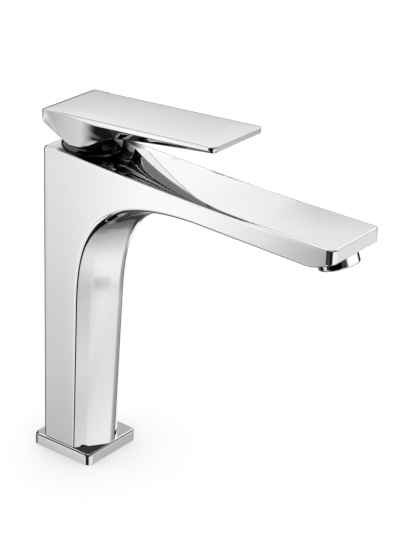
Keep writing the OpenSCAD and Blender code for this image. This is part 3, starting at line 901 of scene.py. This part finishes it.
    def column_rings(self) -> list[list[Point3]]:
        """Rings up the straight column, the rear face and the round into the deck.

        Returns:
            The rings, from the foot upwards.
        """
        rings: list[list[Point3]] = []
        for i in range(9):
            t = i / 8
            z = mix(self.foot_z, self.throat_z, t)
            inner = self.inner_line((mix(self.side_reach, self.throat_side, t), z),
                                    (mix(self.ridge_reach, self.throat_ridge, t), z), 0.0, 0.0)
            rings.append(self.closed(inner, self.rear_line(z, -self.back)))
        r, steps = self.rear_round, 16
        for i in range(1, steps + 1):
            run = (self.rear_len() - r) * i / steps
            rings.append(self.closed(self.bend_inner(run), self.rear_line(self.throat_z + run, -self.back)))
        for k in range(1, 6):
            a = math.pi / 2 * k / 6
            run = self.rear_len() + (k / 6 - 0.5) * 1.6 * r
            x = -self.back + r * (1 - math.cos(a))
            z = self.deck_z - r * (1 - math.sin(a))
            rings.append(self.closed(self.bend_inner(run), self.rear_line(z, x)))
        return rings

    def deck_rings(self) -> list[list[Point3]]:
        """Rings over the deck and the bend, to the start of the straight spout.

        Returns:
            The rings, from the rear forwards.
        """
        stations = sorted(set(
            [-self.back + self.rear_round, -12.0, -9.0]
            + [self.dish_x + self.dish_ramp * i / 6 for i in range(7)]
            + [mix(0.0, self.tongue_x - 0.25, i / 14) for i in range(1, 15)]
            + [mix(self.tongue_x, self.throat_x, i / 40) for i in range(41)]
        ))
        rings = []
        for x in stations:
            inner = self.bend_inner(self.rear_len() + x + self.back)
            rings.append(self.closed(inner, [(x, y, z) for y, z in self.top_line(x)]))
        return rings

    def spout_rings(self) -> list[list[Point3]]:
        """Rings along the straight spout, its chin and the rounded tip.

        Returns:
            The rings, from the bend's end to the tip's face.
        """
        chin = self.reach - self.chin_len
        end = chin - self.keel_end
        stations = [mix(self.throat_x, end, i / 24) for i in range(1, 25)]
        stations += [end + self.keel_end / 2] + [chin + self.chin_round * i / 6 for i in range(-6, 7)]
        stations += [mix(chin + self.chin_round, self.reach - self.tip_corner, i / 4) for i in range(1, 5)]
        stations += [self.reach - self.tip_corner * (1 - math.sin(math.radians(a))) for a in TIP_ANGLES]
        rings = []
        for x in stations:
            side_in = quarter(self.tip_corner, x - self.reach + self.tip_corner)
            face_in = quarter(EDGE_ROUND, x - self.reach + EDGE_ROUND)
            rim_in = quarter(self.rim_w, x - self.reach + self.rim_w) * self.rim_h / self.rim_w
            inner = [(px, py, pz + face_in) for px, py, pz in
                     self.inner_line((x, self.under_z(x)), (x, self.keel_z(x)), side_in)]
            outer = [(x, y, z - rim_in) for y, z in self.top_line(x, side_in)]
            rings.append(self.closed(inner, outer))
        return rings

    def foot_outline(self, inset: float) -> list[Point2]:
        """Plan outline of the column's foot, set in by a margin.

        Args:
            inset: the margin, in millimetres.

        Returns:
            The outline's five corners.
        """
        dx, w = self.ridge_reach - self.side_reach, self.foot_half_w
        length = math.hypot(dx, w)
        nx, ny = w / length, dx / length
        c, side = nx * self.ridge_reach - inset, w - inset
        back = -self.back + inset
        return [(back, -side), ((c - ny * side) / nx, -side), (c / nx, 0.0),
                ((c - ny * side) / nx, side), (back, side)]

    def build(self, dresser: Dresser) -> bpy.types.Object:
        """Makes the body with its bores.

        Args:
            dresser: ties the piece to the frame.

        Returns:
            The body.
        """
        rings = np.array(self.column_rings() + self.deck_rings() + self.spout_rings())
        out = np.array([np.interp(r[0][0] - max(0.0, self.throat_z - r[0][2]), *EDGE_OUT) for r in rings])
        corners = [Corner(0, EDGE_WIDTH, EDGE_STEPS, before=out, after=EDGE_IN),
                   Corner(INNER_POINTS - 1, EDGE_WIDTH, EDGE_STEPS, before=EDGE_IN, after=out)]
        body = Maker.loft("cast_body", round_corners(rings, corners))
        above = self.deck_z + 30
        bore = Maker.rod("bore", self.bore_r, self.seat_z, above)
        well = Maker.rod("well", self.well_r, self.well_z, above)
        for tool in (bore, well):
            Maker.move(tool, Matrix.Translation((self.axis_x * MM, 0, 0)))
        hollow = Maker.prism("hollow", self.foot_outline(self.wall), self.foot_z - 2,
                             self.seat_z - self.floor_t)
        socket = Aerator().placed(Maker.rod("socket", Aerator.socket_r, *Aerator.SOCKET_SPAN))
        Maker.cut(body, bore, well, hollow, socket)
        Maker.smooth(body)
        return dresser.place(body, "mixer_body", "chrome", "body_shell", "chrome_body")


@dataclass
class Foot:
    """The square base plate under the column."""

    width: float = 48.0
    height: float = 8.0
    corner: float = 4.0
    bevel: float = 1.6
    wall: float = 3.5
    groove_edge: float = 1.0
    groove_w: float = 2.2
    groove_depth: float = 2.5

    def outline(self, width: float, corner: float, steps: int = 8) -> list[Point2]:
        """A square with round corners, as plan points.

        Args:
            width: the square's width.
            corner: the corners' radius.
            steps: how many facets a corner has.

        Returns:
            The outline's points.
        """
        c = width / 2 - corner
        points = []
        for quadrant, (sx, sy) in enumerate(((1, 1), (-1, 1), (-1, -1), (1, -1))):
            for k in range(steps + 1):
                a = math.pi / 2 * (quadrant + k / steps)
                points.append((sx * c + corner * math.cos(a), sy * c + corner * math.sin(a)))
        return points

    def build(self, dresser: Dresser) -> bpy.types.Object:
        """Makes the plate with its softened edges, its opening and the gasket's groove.

        Args:
            dresser: ties the piece to the frame.

        Returns:
            The plate.
        """
        rings = []
        levels = [(0.0, 0.25), (0.25, 0.0)]
        levels += [(self.height - self.bevel * (1 - math.sin(math.radians(a))),
                    self.bevel * (1 - math.cos(math.radians(a)))) for a in (0, 15, 30, 45, 60, 75, 90)]
        for z, inset in levels:
            plan = self.outline(self.width - 2 * inset, self.corner - inset * 0.5)
            rings.append([(x, y, z) for x, y in plan])
        plate = Maker.loft("base_plate_cover", np.array(rings))
        outer = self.width - 2 * self.groove_edge
        core_w = outer - 2 * self.groove_w
        opening = Maker.prism("opening", Body().foot_outline(self.wall), -1, self.height + 1)
        groove = Maker.prism("groove", self.outline(outer, self.corner - 0.8), -1, self.groove_depth)
        core = Maker.prism("core", self.outline(core_w, self.corner - 0.9), -2, self.groove_depth + 1)
        Maker.cut(groove, core)
        Maker.cut(plate, opening, groove)
        Maker.smooth(plate)
        plate.visible_glossy = False
        return dresser.place(plate, "mixer_body", "chrome", "base_plate")


# ------------------------------------------------------------------ cover ring, lever and aerator


@dataclass
class CoverRing:
    """The domed chrome ring between the body and the lever's hub."""

    radius: float = 19.9
    inner: float = 13.5
    low: float = 207.5
    high: float = 211.0
    dome_r: float = 1.4
    wall: float = 1.6
    top_t: float = 1.5
    axis_x: float = 5.0

    def build(self, dresser: Dresser) -> bpy.types.Object:
        """Makes the ring as a turned profile with a soft dome.

        Args:
            dresser: ties the piece to the frame.

        Returns:
            The ring.
        """
        r, z = self.radius, self.high
        edge = z - 0.25
        dome = [(r - self.dome_r * (1 - math.cos(math.radians(a))),
                 edge - self.dome_r * (1 - math.sin(math.radians(a)))) for a in range(0, 91, 15)]
        profile = [(r - self.wall, self.low), (r, self.low)] + dome
        profile += [(self.inner + 1.2, z), (self.inner + 0.4, z - 0.08), (self.inner, z - 0.45),
                    (self.inner, z - self.top_t), (r - self.wall, z - self.top_t)]
        ring = Maker.lathe("cover_ring_dome", profile, 160)
        Maker.move(ring, Matrix.Translation((self.axis_x * MM, 0, 0)))
        Maker.smooth(ring, 32)
        # The ring's chrome is darkened to near black: painted shade for the gap under the hub.
        return dresser.place(ring, "mixer_body", "chrome", "cover_ring", "chrome_shade")


@dataclass
class Lever:
    """The plate lever with its wedge-shaped hub."""

    reach: float = 113.6
    back: float = 17.0
    half_w: float = 24.2
    top_z: float = 234.6
    rise: float = 0.0645
    tip_t: float = 3.7
    tip_r: float = 4.0
    back_h: float = 7.4
    hub_z: float = 213.8
    hub_r: float = 20.0
    hub_rear: float = 3.2
    hub_front: float = 3.0
    curve_end: float = 39.0
    plate_start: float = 32.0
    plate_t: float = 10.3
    axis_x: float = 5.0
    round_r: float = 2.4
    round_drop: float = 0.3
    face_r: float = 0.8
    rear_bend: float = 0.6
    hump: Point3 = (1.2, 14.0, 26.0)
    socket_r: float = 7.6
    socket_top: float = 234.0
    grub_r: float = 2.5
    plug_r: float = 2.9
    screw_z: float = 230.9

    HALF_POINTS = 7
    REAR_ANGLES = (0, 12, 24, 36, 48, 60, 75, 90)
    END_ANGLES = (12, 24, 36, 46, 55, 63, 70, 76, 81, 86, 90)

    def marks(self) -> Point3:
        """Where the hub's flat underside starts and ends, and where the thin plate starts."""
        return self.axis_x - self.hub_rear, self.axis_x + self.hub_front, self.axis_x + self.curve_end

    def top(self, x: float) -> float:
        """Height of the lever's top."""
        return self.top_z + self.rise * (x + self.back)

    def plate_under(self, x: float) -> float:
        """Height of the thin plate's underside.

        Args:
            x: the distance along the lever.

        Returns:
            The height.
        """
        start = self.axis_x + self.plate_start
        t = (x - start) / (self.reach - start)
        return mix(self.top(start) - self.plate_t, self.top(self.reach) - self.tip_t, t)

    def under(self, x: float) -> float:
        """Height of the lever's underside: slanted rear, flat hub, curve, thin plate.

        Args:
            x: the distance along the lever.

        Returns:
            The height.
        """
        rear, front, plate = self.marks()
        if x <= rear:
            return mix(self.top_z - self.back_h, self.hub_z, (x + self.back) / (rear + self.back))
        if x <= front:
            return self.hub_z
        if x >= plate:
            return self.plate_under(x)
        xs = [bezier(front, front + 9, front + 19, plate, i / 40) for i in range(41)]
        low, high = self.hub_z, self.plate_under(plate)
        zs = [bezier(low, low, high - 2.4, high, i / 40) for i in range(41)]
        return float(np.interp(x, xs, zs))

    def foot_w(self, x: float) -> float:
        """Half width of the underside.

        Args:
            x: the distance along the lever.

        Returns:
            The half width.
        """
        rear, hub = self.marks()[0], self.hub_r - 0.2
        if x <= rear:
            return mix(self.half_w - 0.2, hub, (x + self.back) / (rear + self.back))
        t = (x - rear) / (self.reach - rear)
        return bezier(hub, self.hub_r - 1.4, self.half_w - 3.6, self.half_w - 1, t)

    def strip(self, x: float) -> float:
        """Height of the vertical strip along the lever's side."""
        return mix(0.1, 3.0, clamp01((x + 8) / 34)) * (1 - 0.25 * clamp01((x - 60) / 60))

    def ring(self, x: float, inset: float, face_in: float, drop: float) -> list[Point3]:
        """A ring of the lever at x.

        Args:
            x: the distance along the lever.
            inset: how far the plan corner has drawn the side in.
            face_in: how far the end face's round has drawn the top and underside in.
            drop: how far the rear edge's round has drawn the top down.

        Returns:
            The ring's points, from the near top edge round the underside.
        """
        zt, w, zb = self.top(x), self.half_w - inset, self.under(x)
        f = min(self.foot_w(x), w - 0.1)
        zs = max(zt - self.strip(x), zb + 0.1)
        zt, zb = zt - face_in - drop, zb + face_in
        zs = min(max(zs, zb + 0.05), zt - 0.05)
        flank = [(mix(w, f, t), mix(zs, zb, t)) for t in (0.33, 0.67)]
        half = [(w, zt), (w, zs)] + flank + [(f, zb), (f * 0.66, zb), (f * 0.33, zb)]
        near = [(x, -y, z) for y, z in half]
        far = [(x, y, z) for y, z in reversed(half)]
        top = [(x, w * s, zt) for s in (0.5, 0.0, -0.5)]
        return near + [(x, 0.0, zb)] + far + top

    def stations(self) -> list[float]:
        """Where the rings stand.

        Returns:
            Distances along the lever, from the rear to the tip.
        """
        rear, front, plate = self.marks()
        r, tip, bend = self.round_r, self.tip_r, self.rear_bend
        places = [-self.back + r * (1 - math.cos(math.radians(a))) for a in self.REAR_ANGLES]
        places += [mix(-self.back + r, rear - bend, i / 10) for i in range(1, 11)]
        places += [rear, rear + bend]
        places += [mix(rear + bend, front, i / 8) for i in range(1, 9)]
        places += [mix(front, plate, i / 32) for i in range(1, 33)]
        places += [mix(plate, self.reach - tip, i / 14) for i in range(1, 15)]
        places += [self.reach - tip * (1 - math.sin(math.radians(a))) for a in self.END_ANGLES]
        return places

    def corners(self, places: list[float]) -> list[Corner]:
        """The rounds along the lever: top edges, flank edges and the underside's edges.

        Args:
            places: where the rings stand.

        Returns:
            The corners of a ring, the near side first.
        """
        extra, centre, run = self.hump
        soft = np.array([extra * clamp01(1 - abs(x - centre) / run) for x in places])
        half = self.HALF_POINTS
        return [Corner(0, 0.5, 5, before=0.9), Corner(1, 0.35, 3), Corner(4, 0.9, 7, soft, soft),
                Corner(half + 3, 0.9, 7, soft, soft), Corner(half + 6, 0.35, 3),
                Corner(half + 7, 0.5, 5, after=0.9)]

    def build(self, dresser: Dresser) -> bpy.types.Object:
        """Makes the lever with its socket and screw hole.

        Args:
            dresser: ties the piece to the frame.

        Returns:
            The lever.
        """
        places = self.stations()
        rings = []
        for x in places:
            back = quarter(self.round_r, -self.back + self.round_r - x)
            end = quarter(self.tip_r, x - self.reach + self.tip_r) + back
            face = quarter(self.face_r, x - self.reach + self.face_r)
            rings.append(self.ring(x, end, face, self.round_drop * back))
        lever = Maker.loft("lever_plate", round_corners(np.array(rings), self.corners(places)))
        socket = Maker.rod("socket", self.socket_r, self.hub_z - 2, self.socket_top)
        Maker.move(socket, Matrix.Translation((self.axis_x * MM, 0, 0)))
        turn = Matrix.Translation((0, 0, self.screw_z * MM)) @ Matrix.Rotation(math.pi / 2, 4, "Y")
        grub = Maker.move(Maker.rod("grub", self.grub_r, -self.back + 2.6, self.axis_x), turn)
        plug = Maker.move(Maker.rod("plug", self.plug_r, -self.back - 2, -self.back + 3), turn)
        Maker.cut(lever, socket, grub, plug)
        Maker.smooth(lever)
        return dresser.place(lever, "lever_arm", "chrome", "lever")


@dataclass
class Aerator:
    """The tilted aerator ring under the spout's tip."""

    radius: float = 12.35
    tilt: float = 20.0
    x: float = 187.3
    z: float = 184.9
    socket_r: float = 12.55
    lip_r: float = 1.0

    SOCKET_SPAN = (-6.0, 11.7)

    def placed(self, piece: bpy.types.Object) -> bpy.types.Object:
        """Moves a piece that is made along Z onto the aerator's tilted axis."""
        turn = Matrix.Rotation(-math.radians(self.tilt), 4, "Y")
        return Maker.move(piece, Matrix.Translation((self.x * MM, 0, self.z * MM)) @ turn)

    def build(self, dresser: Dresser) -> bpy.types.Object:
        """Makes the ring as a turned profile with a rounded lip.

        Args:
            dresser: ties the piece to the frame.

        Returns:
            The ring.
        """
        r = self.radius
        lip = [(r - self.lip_r * (1 - math.sin(math.radians(a))),
                self.lip_r * (1 - math.cos(math.radians(a)))) for a in range(0, 91, 15)]
        profile = [(10.6, 12.5), (10.6, 2.0), (10.0, 1.4), (10.0, 0.5), (10.4, 0.0)] + lip
        profile += [(r, 11.5), (r - 0.85, 11.6), (r - 0.85, 12.5)]
        ring = self.placed(Maker.lathe("aerator_ring", profile, 128))
        Maker.smooth(ring, 32)
        return dresser.place(ring, "mixer_body", "chrome", "aerator_housing")


# ------------------------------------------------------------------ studio


@dataclass(frozen=True)
class Panel:
    """A stretch of the studio's wall: soft upright edges, and its light at each elevation."""

    name: str
    azimuth: tuple[float, float]
    soft: tuple[float, float]
    light: Stops
    heights: tuple[float, float] | None = None
    fade: float = 3.0

    @staticmethod
    def window(graph: Graph, value: object, span: tuple[float, float],
               soft: tuple[float, float]) -> bpy.types.NodeSocket:
        """A mask that is 1 inside a span and falls to 0 over a soft width at each end.

        Args:
            graph: the world's node tree.
            value: the angle that is looked at.
            span: the span's two ends.
            soft: the soft width at each end.

        Returns:
            The mask's output.
        """
        (low, high), (soft_low, soft_high) = span, soft
        rise = graph.ramp(value, low - soft_low / 2, low + soft_low / 2, 0.0, 1.0)
        fall = graph.ramp(value, high - soft_high / 2, high + soft_high / 2, 1.0, 0.0)
        return graph.math("MULTIPLY", rise, fall)

    def mask(self, graph: Graph, azimuth: object, elevation: object) -> bpy.types.NodeSocket:
        """Where the panel stands, as a share of its light that is seen in a direction.

        Args:
            graph: the world's node tree.
            azimuth: the direction's bearing in degrees, from -180 to 180.
            elevation: the direction's height in degrees.

        Returns:
            The mask's output.
        """
        low, high = self.azimuth
        turns = (0.0, 360.0) if low < -180 else (0.0,)
        masks = [self.window(graph, azimuth, (low + turn, high + turn), self.soft) for turn in turns]
        made = masks[0] if len(masks) == 1 else graph.math("MAXIMUM", *masks)
        if self.heights:
            inside = self.window(graph, elevation, self.heights, (self.fade, self.fade))
            made = graph.math("MULTIPLY", made, inside)
        return made


def even(level: float) -> Stops:
    """The same light at every elevation."""
    return ((-90, level), (90, level))


# Light at each elevation in degrees, shared by two panels each.
LOW_SKY = ((-90, 0.15), (-68, 0.14), (-62, 0.03), (-50, 0.06), (-44, 0.15), (-37, 0.25), (-32, 0.8),
           (-27, 0.9), (-20, 0.5), (-17, 0.03), (9, 0.03), (12, 0.4))
LOW_LEFT = ((-90, 0.0), (-49, 0.01), (-47, 0.05), (-45.5, 0.18), (-44, 0.32), (-42, 0.52), (-40, 0.7),
            (-38, 0.62), (-36.5, 0.56), (-34.6, 0.5), (-32, 0.46))


@dataclass
class Studio:
    """The floor, the camera, and the panels that the chrome reflects."""

    eye: Point3 = (0.6889, -0.8057, 0.6162)
    lens: float = 119.6
    azimuth: float = 36.375
    elevation: float = 25.036
    roll: float = 2.323
    reflected: float = 1.08
    around: float = 1.1
    floor_half: float = 6.0
    floor_white: float = 0.72
    floor_glow: float = 0.3
    lamp_place: Point3 = (-0.5, -0.5, 1.3)
    lamp_aim: Point3 = (0.05, 0.0, 0.1)
    lamp_size: float = 1.2
    lamp_power: float = 0.4

    BASE = ((-90.0, 0.0), (-55.0, 0.03), (-48.0, 0.5), (-26.0, 0.55), (-18.0, 0.25), (0.0, 0.05),
            (38.0, 0.08), (47.0, 0.98), (61.0, 1.0), (65.0, 0.04), (72.0, 0.05), (79.0, 0.3), (90.0, 0.4))
    PANELS = (
        # The wall beyond the spout, to the right.
        Panel("far_right", (122.0, 200.0), (4.0, 4.0), (
            (-90, 0.15), (-78, 0.17), (-66, 0.28), (-54, 0.4), (-44, 0.5), (-40, 0.45), (-36, 0.36),
            (-32, 0.28), (-29.6, 0.3), (-27.8, 0.56), (-26, 0.72), (-23, 0.74), (-19, 0.25), (0, 0.08),
            (8, 0.02), (70, 0.02), (90, 0.02))),
        # The wall behind, with the sky that the tops mirror.
        Panel("far_wall", (-195.0, -129.0), (30.0, 4.0), (
            *LOW_SKY, (14.2, 0.52), (14.6, 0.58), (14.8, 0.64), (15.0, 0.78), (15.3, 0.9), (17, 0.95),
            (22, 0.6), (23.3, 0.62), (23.6, 0.67), (23.9, 0.78), (24.4, 0.83), (26.6, 0.87), (30, 0.95),
            (48, 0.97), (53, 0.02))),
        # The same wall as the base plate's top sees it.
        Panel("base_sky", (-144.5, -129.0), (2.0, 4.0), (
            *LOW_SKY, (14.3, 0.52), (14.7, 0.62), (15.1, 0.78), (15.6, 0.88), (17, 0.95), (22, 0.6),
            (27, 0.45), (33, 0.45), (40, 1.0), (48, 1.0), (53, 0.02))),
        # The wall that the column's slanted front mirrors.
        Panel("front_right", (52.5, 137.0), (10.0, 20.0), (
            (-90, 0.2), (-78, 0.22), (-74.3, 0.36), (-72, 0.42), (-66, 0.48), (-58, 0.6), (-50, 0.72),
            (-42, 0.86), (-38, 0.88), (-33.5, 0.84), (-32, 0.74), (-30.5, 0.76), (-29.5, 0.8), (-28, 0.86),
            (-22, 0.9), (-18, 0.3), (-14, 0.05), (70, 0.02), (90, 0.02))),
        # The dark gap in front, which draws the upright outlines.
        Panel("camera_gap", (-14.0, 49.5), (30.0, 3.0), ((-90, 0.0), (-52, 0.01), (60, 0.01), (90, 0.02))),
        # The wall that the near side faces mirror.
        Panel("near_left", (-47.0, -17.0), (6.0, 12.0), (
            *LOW_LEFT, (-30.4, 0.5), (-29.3, 0.55), (-27.8, 0.61), (-26.2, 0.64), (-24.7, 0.71), (-22, 0.77),
            (-16, 0.66), (-12, 0.8), (-7, 0.5), (3, 0.35), (17, 0.24), (24, 0.1), (32, 0.0), (45, 0.0),
            (50, 0.3), (61, 0.32), (66, 0.02))),
        # The wall that the lever's and the spout's near edges mirror.
        Panel("left", (-76.0, -47.0), (4.0, 6.0), (
            *LOW_LEFT, (-25, 0.47), (-20, 0.55), (-8, 0.45), (-5, 0.24), (3, 0.17), (45, 0.17), (52, 0.32),
            (61, 0.32), (66, 0.02))),
        # The dark corner to the left.
        Panel("left_corner", (-128.0, -106.0), (6.0, 6.0), (
            (-50, 0.3), (-38, 0.0), (-14, 0.0), (0, 0.05), (38, 0.08), (47, 0.98), (61, 1.0), (65, 0.02))),
        # The light line along the lower edges of the bend.
        Panel("edge_white", (-31.0, -18.0), (3.0, 10.0), even(1.0), (-52.0, -26.0)),
        # The dark band in the bend's lower edge.
        Panel("edge_black", (-128.0, -58.0), (6.0, 8.0), even(0.0), (-46.0, -12.0)),
        # The light towards the spout's tip on its near side.
        Panel("tip_side", (-36.2, -30.0), (2.4, 3.0), (
            (-28, 0.57), (-25.6, 0.59), (-24.6, 0.66), (-23.9, 0.74), (-23.2, 0.86), (-22, 0.93),
            (-19, 0.93)), (-27.5, -19.0)),
        # The grey along the column's front edge.
        Panel("column_shade", (58.0, 60.5), (2.0, 10.0), even(0.45), (-34.0, -30.9), 1.6),
        # The light start of the spout's flat top.
        Panel("spout_sky", (-146.8, -144.6), (1.6, 1.0), (
            (22, 0.78), (24, 0.86), (30, 1.0), (40, 1.0)), (21.5, 42.0), 2.0),
        # The fall into the spout's near corner.
        Panel("tip_shade", (-32.3, -8.0), (5.0, 8.0), even(0.03), (-25.6, -19.0), 1.0),
        # The grey towards the lever's tip.
        Panel("tip_sky", (-152.0, -139.5), (4.0, 4.0), (
            (14.2, 0.5), (14.9, 0.58), (15.7, 0.66), (16.1, 0.76), (16.5, 0.86), (17, 0.92)), (13.0, 18.5)),
        # The light on the tongue's near flank.
        Panel("tongue_white", (-193.0, -157.0), (10.0, 6.0), even(0.95), (-45.5, -36.5)),
        # The dark gap seen by upward faces.
        Panel("gap_high", (-27.0, 50.0), (4.0, 6.0), (
            (-90, 0.0), (2, 0.0), (9, 0.03), (60, 0.05), (72, 0.06), (79, 0.3), (90, 0.4)), (-20.0, 85.0)),
        # The column's front edge.
        Panel("front_edge", (49.0, 55.5), (3.0, 11.0), (
            (-90, 0.3), (-60, 0.36), (-46, 0.46), (-34, 0.47), (-28, 0.48), (-20, 0.5)), (-62.0, -20.0)),
        # The dark line round the far corners.
        Panel("far_black", (164.0, 201.0), (10.0, 2.0), even(0.0), (-36.0, -10.0)),
        # The bright bar that the spout's end face mirrors.
        Panel("right_bar", (82.0, 160.0), (14.0, 10.0), even(1.0), (-7.0, 13.0)),
        # The soft light overhead.
        Panel("ceiling", (-190.0, 190.0), (4.0, 4.0), ((66, 0.3), (78, 0.4), (90, 0.5)), (67.0, 100.0), 4.0),
        # The bright strip on the near sides.
        Panel("bright_strip", (-40.6, -36.2), (3.0, 3.0), (
            (-31, 0.6), (-27, 0.97), (-12, 0.97), (-8, 0.6), (0, 0.2), (10, 0.02), (44, 0.02), (50, 0.3),
            (61, 0.3), (66, 0.02))),
    )

    def camera(self) -> None:
        """Makes the camera on its fitted place, with its slight roll."""
        data = bpy.data.cameras.new("camera")
        data.lens, data.sensor_width, data.sensor_fit = self.lens, 36.0, "AUTO"
        data.clip_start, data.clip_end = 0.05, 20.0
        a, e, r = (math.radians(v) for v in (self.azimuth, self.elevation, self.roll))
        back = Vector((math.sin(a) * math.cos(e), -math.cos(a) * math.cos(e), math.sin(e)))
        right = Vector((math.cos(a), math.sin(a), 0.0))
        up = back.cross(right)
        x_axis = right * math.cos(r) + up * math.sin(r)
        y_axis = -right * math.sin(r) + up * math.cos(r)
        eye = bpy.data.objects.new("camera", data)
        bpy.context.scene.collection.objects.link(eye)
        turn = Matrix((x_axis, y_axis, back)).transposed().to_4x4()
        eye.matrix_world = Matrix.Translation(self.eye) @ turn
        bpy.context.scene.camera = eye

    def floor(self) -> None:
        """Makes the plain pale floor."""
        size = self.floor_half
        data = bpy.data.meshes.new("floor")
        data.from_pydata([(-size, -size, 0), (size, -size, 0), (size, size, 0), (-size, size, 0)], [],
                         [(0, 1, 2, 3)])
        ground = bpy.data.objects.new("floor", data)
        bpy.context.scene.collection.objects.link(ground)
        material = bpy.data.materials.new("floor_white")
        material.use_nodes = True
        shader = material.node_tree.nodes["Principled BSDF"]
        shader.inputs["Base Color"].default_value = (*[self.floor_white] * 3, 1)
        shader.inputs["Emission Color"].default_value = (1, 1, 1, 1)
        shader.inputs["Emission Strength"].default_value = self.floor_glow
        shader.inputs["Roughness"].default_value = 0.9
        shader.inputs["Specular IOR Level"].default_value = 0.1
        data.materials.append(material)
        ground.visible_glossy = False

    @staticmethod
    def shine(graph: Graph, height: object, light: Stops) -> bpy.types.NodeSocket:
        """The light at a height, from stops in degrees of elevation."""
        return graph.steps(height, [((elevation + 90) / 180, level) for elevation, level in light])

    def world(self) -> None:
        """Makes the surroundings: even white light, and cards that only reflections see."""
        world = bpy.data.worlds.new("studio")
        bpy.context.scene.world = world
        world.use_nodes = True
        graph = Graph(world.node_tree)
        parts = graph.node("SeparateXYZ")
        graph.link(graph.node("TexCoord").outputs["Generated"], parts.inputs[0])
        x, y, z = parts.outputs
        azimuth = graph.math("DEGREES", graph.math("ARCTAN2", x, graph.math("MULTIPLY", y, -1.0)))
        elevation = graph.math("DEGREES", graph.math("ARCSINE", z))
        height = graph.ramp(elevation, -90.0, 90.0, 0.0, 1.0)
        level: object = self.shine(graph, height, self.BASE)
        for panel in self.PANELS:
            mask = panel.mask(graph, azimuth, elevation)
            light = self.shine(graph, height, panel.light)
            step = graph.math("MULTIPLY", mask, graph.math("SUBTRACT", light, level))
            level = graph.math("ADD", level, step)
        seen = graph.node("Background")
        graph.link(level, seen.inputs["Color"])
        seen.inputs["Strength"].default_value = self.reflected
        plain = graph.node("Background")
        plain.inputs["Color"].default_value = (1, 1, 1, 1)
        plain.inputs["Strength"].default_value = self.around
        blend = graph.node("MixShader")
        graph.link(graph.node("LightPath").outputs["Is Glossy Ray"], blend.inputs["Fac"])
        graph.link(plain.outputs[0], blend.inputs[1])
        graph.link(seen.outputs[0], blend.inputs[2])
        graph.link(blend.outputs[0], graph.node("OutputWorld").inputs["Surface"])

    def lamps(self) -> None:
        """Hangs one large soft lamp for the faint shadow round the base."""
        data = bpy.data.lights.new("soft_lamp", "AREA")
        data.shape, data.size, data.energy = "DISK", self.lamp_size, self.lamp_power
        lamp = bpy.data.objects.new("soft_lamp", data)
        bpy.context.scene.collection.objects.link(lamp)
        place = Vector(self.lamp_place)
        lamp.location = place
        lamp.rotation_mode = "QUATERNION"
        lamp.rotation_quaternion = (Vector(self.lamp_aim) - place).to_track_quat("-Z", "Y")
        lamp.visible_glossy = False

    def build(self) -> None:
        """Sets up the whole studio."""
        self.camera()
        self.floor()
        self.world()
        self.lamps()
        scene = bpy.context.scene
        scene.view_settings.view_transform = "Standard"
        scene.view_settings.look = "None"


def main() -> None:
    """Builds the mixer's pieces, then the studio."""
    logging.basicConfig(level=logging.INFO, format="%(name)s: %(message)s")
    dresser = Dresser()
    makers: list[Callable[[Dresser], bpy.types.Object]] = [
        Body().build, Foot().build, CoverRing().build, Lever().build, Aerator().build,
    ]
    for make in makers:
        make(dresser)
    dresser.dress_nodes()
    Studio().build()


if __name__ == "__main__":
    main()
